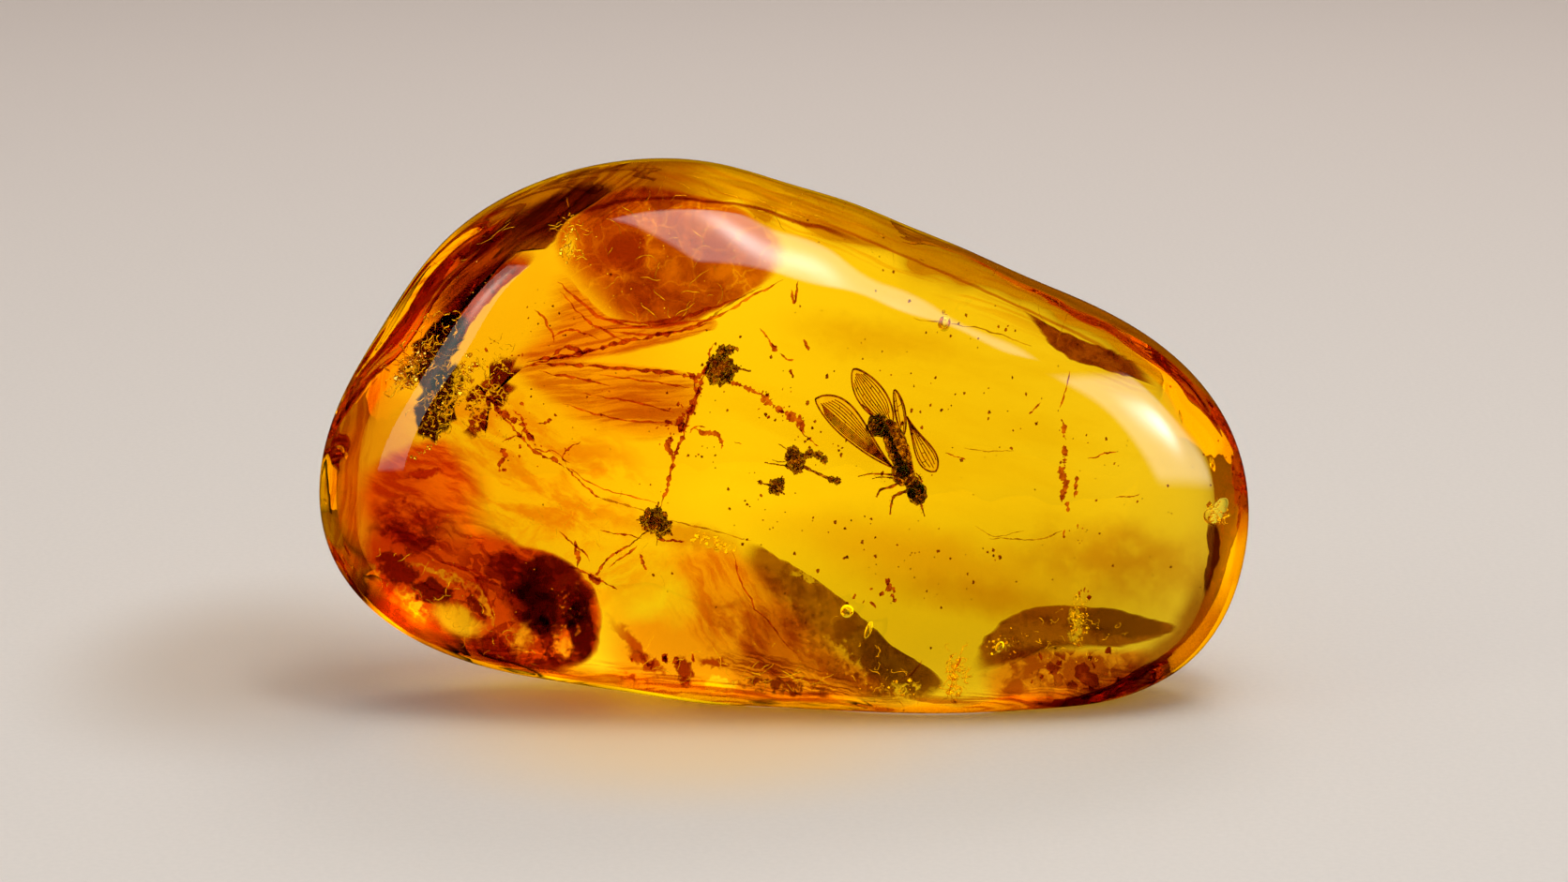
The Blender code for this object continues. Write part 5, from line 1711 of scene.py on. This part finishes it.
    def trunk(self) -> Object:
        """The body: the abdomen's rings and the thorax."""
        parts = MeshParts()
        base = np.array(self.middle)
        width, depth, length = self.abdomen_size
        lean = self.abdomen_lean
        axis = np.array((sin(lean), 0.0, cos(lean)))
        side = np.array((cos(lean), 0.0, -sin(lean)))
        middle = base + self.abdomen
        spokes = 24
        share = np.linspace(-1, 1, 71)
        swell = np.sqrt(np.clip(1 - share**2, 0, 1))
        swell = swell * (1 + 0.07 * np.abs(np.sin(share * pi * self.abdomen_rings / 2)) - 0.05)
        turn = np.linspace(0, 2 * pi, spokes, endpoint=False)
        points = []
        for s, w in zip(share, swell):
            for a in turn:
                rough = 1 + 0.05 * noise.noise(Vector((s * 6, cos(a) * 2, sin(a) * 2)))
                points.append(middle + axis * length * s + side * width * w * rough * cos(a)
                              + np.array((0, depth * w * rough * sin(a), 0)))
        ends = [tuple(range(spokes)), tuple(range(len(points) - spokes, len(points)))]
        parts.add(np.array(points), grid_faces(len(share), spokes, True) + ends)
        for ball in self.thorax:
            parts.ball(ball, self.middle)
        return parts.build("insect_trunk", CHITIN_BROWN.build(), "insect")

    def dark_parts(self) -> Object:
        """The darkest parts: the head, its eyes, the round mass, the gut and the thorax's back."""
        parts = MeshParts()
        for ball in self.dark_masses:
            parts.ball(ball, self.middle)
        curve = curve_through(np.array(self.gut), 12) + np.array(self.middle)
        radii = 0.15 * (1 + 1.2 * wobble(curve[:, ::2], 3.0, 0.16)[:, 0])
        parts.tube(curve, np.maximum(radii, 0.06), 8)
        parts.ball(self.thorax_back, self.middle)
        return parts.build("insect_dark", CHITIN_DARK.build(), "insect")

    def limbs(self) -> Object:
        """The legs, mouthparts and feelers, with short hairs on them."""
        parts = MeshParts()
        base = np.array(self.middle)
        hairs = 6
        for number, (points, width) in enumerate(self.legs):
            curve = curve_through(np.array(points), 8)
            share = np.linspace(0, 1, len(curve))
            joints = 1 + 0.45 * np.cos(share * pi * 2 * (len(points) - 1)) * 0.5
            radii = width / 2 * (1.25 - 0.75 * share) * joints
            parts.tube(curve + base, np.maximum(radii, 0.015), 7)
            for hair in range(hairs):
                at = curve[4 + hair * (len(curve) - 6) // hairs] + base
                out = np.array(((-1) ** hair * 0.12, -0.03, 0.10 - 0.2 * ((hair + number) % 2)))
                parts.tube(np.array((at, at + out * 0.6, at + out)), np.array((0.012, 0.009, 0.004)), 4)
        return parts.build("insect_limbs", LIMBS.build(), "insect")

    def build(self) -> None:
        """Make the whole insect, in place of the frame's plain one."""
        pieces = (self.trunk(), self.dark_parts(), self.membranes(), self.veins(), self.limbs())
        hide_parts("insect")


# -------------------- debris


@dataclass(frozen=True)
class Clump:
    """A clump of forest debris: its lumps (place, radius) and its twigs (points, width)."""

    node: str
    middle: Point
    lumps: tuple[tuple[Point, float], ...]
    twigs: tuple[tuple[tuple[Point, ...], float], ...]

    def build(self, material: Material) -> Object:
        """Make the clump in place of the frame's plain one."""
        parts = MeshParts()
        base = np.array(self.middle)
        for number, (place, radius) in enumerate(self.lumps):
            parts.ball(Ball(place, (radius, radius * 0.9, radius), 17 * number, 0.75, 3.3, 4), self.middle)
        for number, (points, width) in enumerate(self.twigs):
            curve = curve_through(np.array(points), 8)
            share = np.linspace(0, 1, len(curve))
            rough = wobble(curve[:, ::2], number + 1.0, 0.16)
            curve[:, ::2] += 0.05 * rough
            radii = width / 2 * (1.15 - 0.5 * share) * (1 + 0.7 * rough[:, 0])
            parts.tube(curve + base, np.maximum(radii, 0.012), 6)
        obj = parts.build(self.node + "_detail", material, "debris")
        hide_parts(self.node)
        return obj


CLUMPS: tuple[Clump, ...] = (
    Clump("debris_upper", (-3.3, -0.1, 18.05),
          (((0, 0, 0), 0.62), ((0.12, 0, 0.78), 0.27), ((0.42, 0, 0.86), 0.20), ((0.72, 0, -0.02), 0.16),
           ((-0.3, 0, 0.35), 0.28), ((0.3, 0, -0.35), 0.3)),
          ((((0.2, 0, 0.05), (0.9, 0, 0), (1.5, 0, -0.12)), 0.12),
           (((0.1, 0, 0.5), (0.2, 0, 0.7), (0.15, 0, 0.95)), 0.22),
           (((0.5, 0, 0.8), (0.7, 0, 0.9), (0.85, 0, 0.8)), 0.14),
           (((-0.4, 0, -0.2), (-0.58, 0, -0.35), (-0.7, 0, -0.3)), 0.07))),
    Clump("debris_lower", (-6.6, 0.1, 10.45),
          (((0, 0, 0), 0.56), ((-0.3, 0, 0.26), 0.34), ((0.4, 0, -0.2), 0.36), ((0.06, 0, 0.5), 0.22),
           ((-0.62, 0, 0.05), 0.22), ((0.2, 0, -0.5), 0.22)),
          ((((-0.3, 0, 0.2), (-0.6, 0, 0.12), (-1, 0, 0.1)), 0.10),
           (((0, 0, 0.4), (0.1, 0, 0.75), (0.14, 0, 1)), 0.12),
           (((-0.2, 0, -0.2), (-0.8, 0, -0.7), (-1.3, 0.1, -1.05)), 0.07),
           (((0.2, 0, -0.2), (0.55, 0, -0.4), (0.85, 0.1, -0.6)), 0.14),
           (((0, 0, -0.4), (0.06, 0, -0.8), (0, 0.1, -1.1)), 0.05))),
    Clump("debris_middle", (0.55, 0, 13.6),
          (((0, 0, 0), 0.46), ((-0.12, 0, 0.38), 0.30), ((0.1, 0, -0.4), 0.26), ((0.75, 0, 0.32), 0.2),
           ((1.2, 0, 0.22), 0.2), ((1.5, -0.1, 0), 0.18), ((1.9, 0.1, -0.98), 0.16),
           ((2.2, 0.1, -1.08), 0.18)),
          ((((0.2, 0, 0.2), (0.9, 0, 0.28), (1.55, -0.1, 0.02)), 0.14),
           (((0.2, 0, -0.2), (0.8, 0.05, -0.5), (1.4, 0.1, -0.8), (2.2, 0.1, -1.07)), 0.16),
           (((-0.2, 0, -0.25), (-0.9, 0, -0.2), (-1.6, 0.1, -0.1)), 0.08),
           (((-0.2, 0, 0.4), (-0.55, 0, 0.62), (-0.9, 0, 0.8)), 0.06),
           (((-0.3, 0, 0), (-0.9, 0, -0.06), (-1.2, 0, 0.08)), 0.05))),
    Clump("debris_small", (-0.4, 0, 12.3),
          (((0, 0, 0), 0.36), ((-0.2, 0, -0.16), 0.2), ((0.2, 0, 0.2), 0.2), ((-0.85, 0, 0.2), 0.1)),
          ((((-0.1, 0, 0), (-0.5, 0, 0.08), (-1, 0, 0.25)), 0.09),
           (((0, 0, 0.1), (0.2, 0, 0.3), (0.3, -0.1, 0.52)), 0.12),
           (((0, 0, -0.2), (0.3, 0, -0.35), (0.42, 0, -0.4)), 0.09))),
)


# -------------------- stage


@dataclass(frozen=True)
class SoftPanel:
    """A soft light panel that shows in gloss and through the amber, and not to the camera.

    light is its brightness, core the extra brightness about its own middle, which falls off over
    the spread (shares of the panel's width and height).
    """

    name: str
    middle: Point
    target: Point
    size: Spot
    light: float
    core: float = 0.0
    centre: Spot = (0.5, 0.5)
    spread: Spot = (0.3, 0.3)
    colour: Colour = (1.0, 0.98, 0.96)
    edge: float = 0.25
    spin: float = 0.0

    def glow(self, graph: Graph) -> Wire:
        """How bright each place on the panel is."""
        parts = graph.add("SeparateXYZ", None, {0: graph.add("UVMap")}).socket.node
        across, along = Wire(graph, parts.outputs[0]), Wire(graph, parts.outputs[1])
        fade = graph.smooth(graph.math("ABSOLUTE", across - 0.5), 0.5, 0.5 - self.edge / 2)
        fade = fade * graph.smooth(graph.math("ABSOLUTE", along - 0.5), 0.5, 0.5 - self.edge / 2)
        off = ((across - self.centre[0]) / self.spread[0]) ** 2
        off = off + ((along - self.centre[1]) / self.spread[1]) ** 2
        return fade * (self.light + self.core * graph.math("EXPONENT", off * -1.0))

    def build(self) -> Object:
        """Make the panel as a quad in metres that faces its target."""
        out = (Vector(self.target) - Vector(self.middle)).normalized()
        turn = out.to_track_quat("Z", "Y").to_matrix() @ Matrix.Rotation(radians(self.spin), 3, "Z")
        corners = [(-1, -1), (1, -1), (1, 1), (-1, 1)]
        wide, high = self.size
        verts = [Vector(self.middle) + turn @ Vector((x * wide / 2, y * high / 2, 0)) for x, y in corners]
        graph = Graph(self.name)
        shader = graph.add("Emission", None, {"Color": self.colour, "Strength": self.glow(graph)})
        obj = new_object(self.name, np.array(verts) / MM, [(0, 1, 2, 3)], graph.finish(shader))
        layer = obj.data.uv_layers.new(name="UVMap")
        for loop, uv in zip(layer.data, ((0, 0), (1, 0), (1, 1), (0, 1))):
            loop.uv = uv
        obj.visible_camera = False
        return obj


@dataclass(frozen=True)
class PaintedPool:
    """A pool of warm light or shade painted into the floor's colour: its tint, middle and reach, and its even
    share.
    """

    tint: Colour
    middle: Spot
    reach: Spot
    even: float


@dataclass
class Studio:
    """The pale floor that sweeps up behind, the lights and the camera."""

    floor_colour: Colour = (0.726, 0.628, 0.571)
    # Painted light and shade on the floor: a warm pool of light in front of the pebble, where light comes
    # through the amber, and the pebble's shadow to its left.
    glow: PaintedPool = PaintedPool((1.14, 0.98, 0.72), (-5, -8), (18, 17), 0.25)
    painted_shadow: PaintedPool = PaintedPool((0.78, 0.72, 0.66), (-30, 6), (14, 24), 0.2)
    half_width: float = 1.3
    front: float = -0.9
    bend: float = 0.55
    bend_radius: float = 0.35
    top: float = 1.3
    lens: float = 100.0
    world_colour: Colour = (1.0, 0.98, 0.96)
    world_light: float = 0.55
    light_through: float = 2.2
    card_tint: Colour = (1.0, 0.85, 0.8)
    card_fall: tuple[Spot, ...] = (
        (-0.075, 0.4), (-0.03, 0.45), (-0.021, 0.62), (-0.014, 1), (-0.008, 1.16), (-0.002, 1.1),
        (0.004, 1), (0.012, 0.94), (0.018, 1), (0.024, 1.05), (0.03, 0.95), (0.075, 0.6),
    )
    card_line: tuple[Point, ...] = (
        (-0.05, 0.0001, 0.55), (-0.018, 0.0001, 0.9), (-0.009, 0.0001, 1.05), (0.004, 0.0001, 1),
        (0.0075, 0.0001, 0.65), (0.0095, 0.0001, 0.36), (0.0112, 0.0002, 0.32), (0.0118, 0.004, 0.62),
        (0.013, 0.01, 1.15), (0.016, 0.03, 1.13), (0.021, 0.05, 1.08), (0.03, 0.078, 1.03),
    )

    def floor(self) -> Object:
        """The floor and backdrop in one sweep, with a painted warm pool of light in front of the pebble and a
        painted shadow to its left.
        """
        steps = 24
        arc = [pi / 2 * k / steps for k in range(steps + 1)]
        radius = self.bend_radius
        sweep = [(self.bend + radius * sin(a), radius * (1 - cos(a))) for a in arc]
        profile = [(self.front, 0.0), *sweep, (self.bend + radius, self.top)]
        verts = [(x, y, z) for x in (-self.half_width, self.half_width) for y, z in profile]
        graph = Graph("paper")
        fibre = graph.cloud(graph.here(), 0.35, 3.0)
        pale = tuple(c * 0.97 for c in self.floor_colour)
        tone = graph.mix(graph.smooth(fibre, 0.3, 0.7), self.floor_colour, pale)
        # Paint the warm pool of light and the shadow into the paper's colour.
        for painted_pool in (self.glow, self.painted_shadow):
            out = graph.length(graph.framed(graph.here(), painted_pool.middle, painted_pool.reach, 0.0))
            tinted = tuple(a * b for a, b in zip(self.floor_colour, painted_pool.tint))
            tone = graph.mix(graph.smooth(out, 1.0, painted_pool.even), tone, tinted)
        bump = graph.add("Bump", None, {"Height": fibre, "Strength": 0.25, "Distance": 0.05 * MM})
        shader = graph.add("BsdfPrincipled", None, {
            "Base Color": tone, "Roughness": 0.95, "Specular IOR Level": 0.1, "Normal": bump,
        })
        obj = new_object("floor", np.array(verts) / MM, grid_faces(2, len(profile)), graph.finish(shader))
        obj.visible_glossy = False
        return obj

    def world(self) -> None:
        """An even pale surround, which doesn't mirror in the amber."""
        world = bpy.data.worlds.new("surround")
        world.use_nodes = True
        tree = world.node_tree
        background = tree.nodes["Background"]
        background.inputs["Color"].default_value = (*self.world_colour, 1.0)
        path = tree.nodes.new("ShaderNodeLightPath")
        level = tree.nodes.new("ShaderNodeMapRange")
        level.inputs["To Min"].default_value = self.world_light
        level.inputs["To Max"].default_value = self.light_through
        tree.links.new(path.outputs["Is Transmission Ray"], level.inputs["Value"])
        tree.links.new(level.outputs["Result"], background.inputs["Strength"])
        world.cycles_visibility.glossy = False
        bpy.context.scene.world = world

    def panels(self) -> None:
        """The soft panels, and the bright card behind the pebble that lights it through."""
        SoftPanel("panel_top", (0.045, -0.085, 0.33), (0.0, 0.0, 0.02), (0.24, 0.24), 2.8, 9.0,
                  (0.45, 0.35), (0.35, 0.12), (0.86, 1.0, 1.04), 0.15).build()
        left = SoftPanel("panel_left", (-0.33, -0.17, 0.16), (0.0, 0.0, 0.015), (0.085, 0.34), 1.7, 5.0,
                         (0.5, 0.7), (0.15, 0.2), (0.84, 0.92, 0.80), 0.08).build()
        left.visible_transmission = False
        right = SoftPanel("panel_right", (0.44, -0.16, 0.20), (0.0, 0.0, 0.015), (0.32, 0.46), 3.0, 15.0,
                          (0.5, 0.5), (0.16, 0.16), (0.92, 1.0, 1.08), 0.28).build()
        right.visible_diffuse = False
        back = SoftPanel("panel_back", (0.06, 0.32, 0.34), (0, 0, 0.01), (0.26, 0.16), 5, edge=0.4).build()
        back.visible_glossy = False
        back.visible_transmission = False
        self.card()

    def card(self) -> None:
        """The bright card that curves up from under the pebble's back, and only shows through it."""
        verts = [(x, y, z) for x, _ in self.card_fall for y, z, _ in self.card_line]
        levels = [share * light for _, share in self.card_fall for _, _, light in self.card_line]
        faces = grid_faces(len(self.card_fall), len(self.card_line))
        graph = Graph("card")
        shader = graph.add("Emission", None, {"Color": self.card_tint, "Strength": graph.kept("level")})
        obj = new_object("card_back", np.array(verts) / MM, faces, graph.finish(shader))
        keep(obj, "level", np.array(levels))
        for way in ("camera", "diffuse", "glossy", "shadow"):
            setattr(obj, "visible_" + way, False)

    def camera(self) -> None:
        """The camera, at the angle the pebble's face is looked at from."""
        lens = bpy.data.cameras.new("camera")
        lens.lens = self.lens
        lens.sensor_width = 36.0
        lens.clip_start = 0.01
        camera = set_out("camera", lens)
        camera.location = Vector(SIGHT.eye()) * MM
        camera.rotation_euler = (radians(90) - SIGHT.elevation, 0.0, 0.0)
        bpy.context.scene.camera = camera

    def build(self) -> None:
        """Make the whole stage."""
        self.floor()
        self.world()
        self.panels()
        self.camera()
        scene = bpy.context.scene
        scene.view_settings.view_transform = "Standard"
        scene.cycles.max_bounces = 48
        scene.cycles.glossy_bounces = 20
        scene.cycles.transmission_bounces = 48
        scene.cycles.transparent_max_bounces = 32


# -------------------- the whole


def main() -> None:
    """Build every piece in order."""
    logging.basicConfig(level=logging.INFO, format="%(name)s %(message)s")
    Pebble().build()
    for piece in (*FLOWS, *STRANDS, Wires(TANGLES), *SCATTERS, Insect()):
        piece.build()
    bark = BARK.build()
    for clump in CLUMPS:
        clump.build(bark)
    Studio().build()


if __name__ == "__main__":
    main()
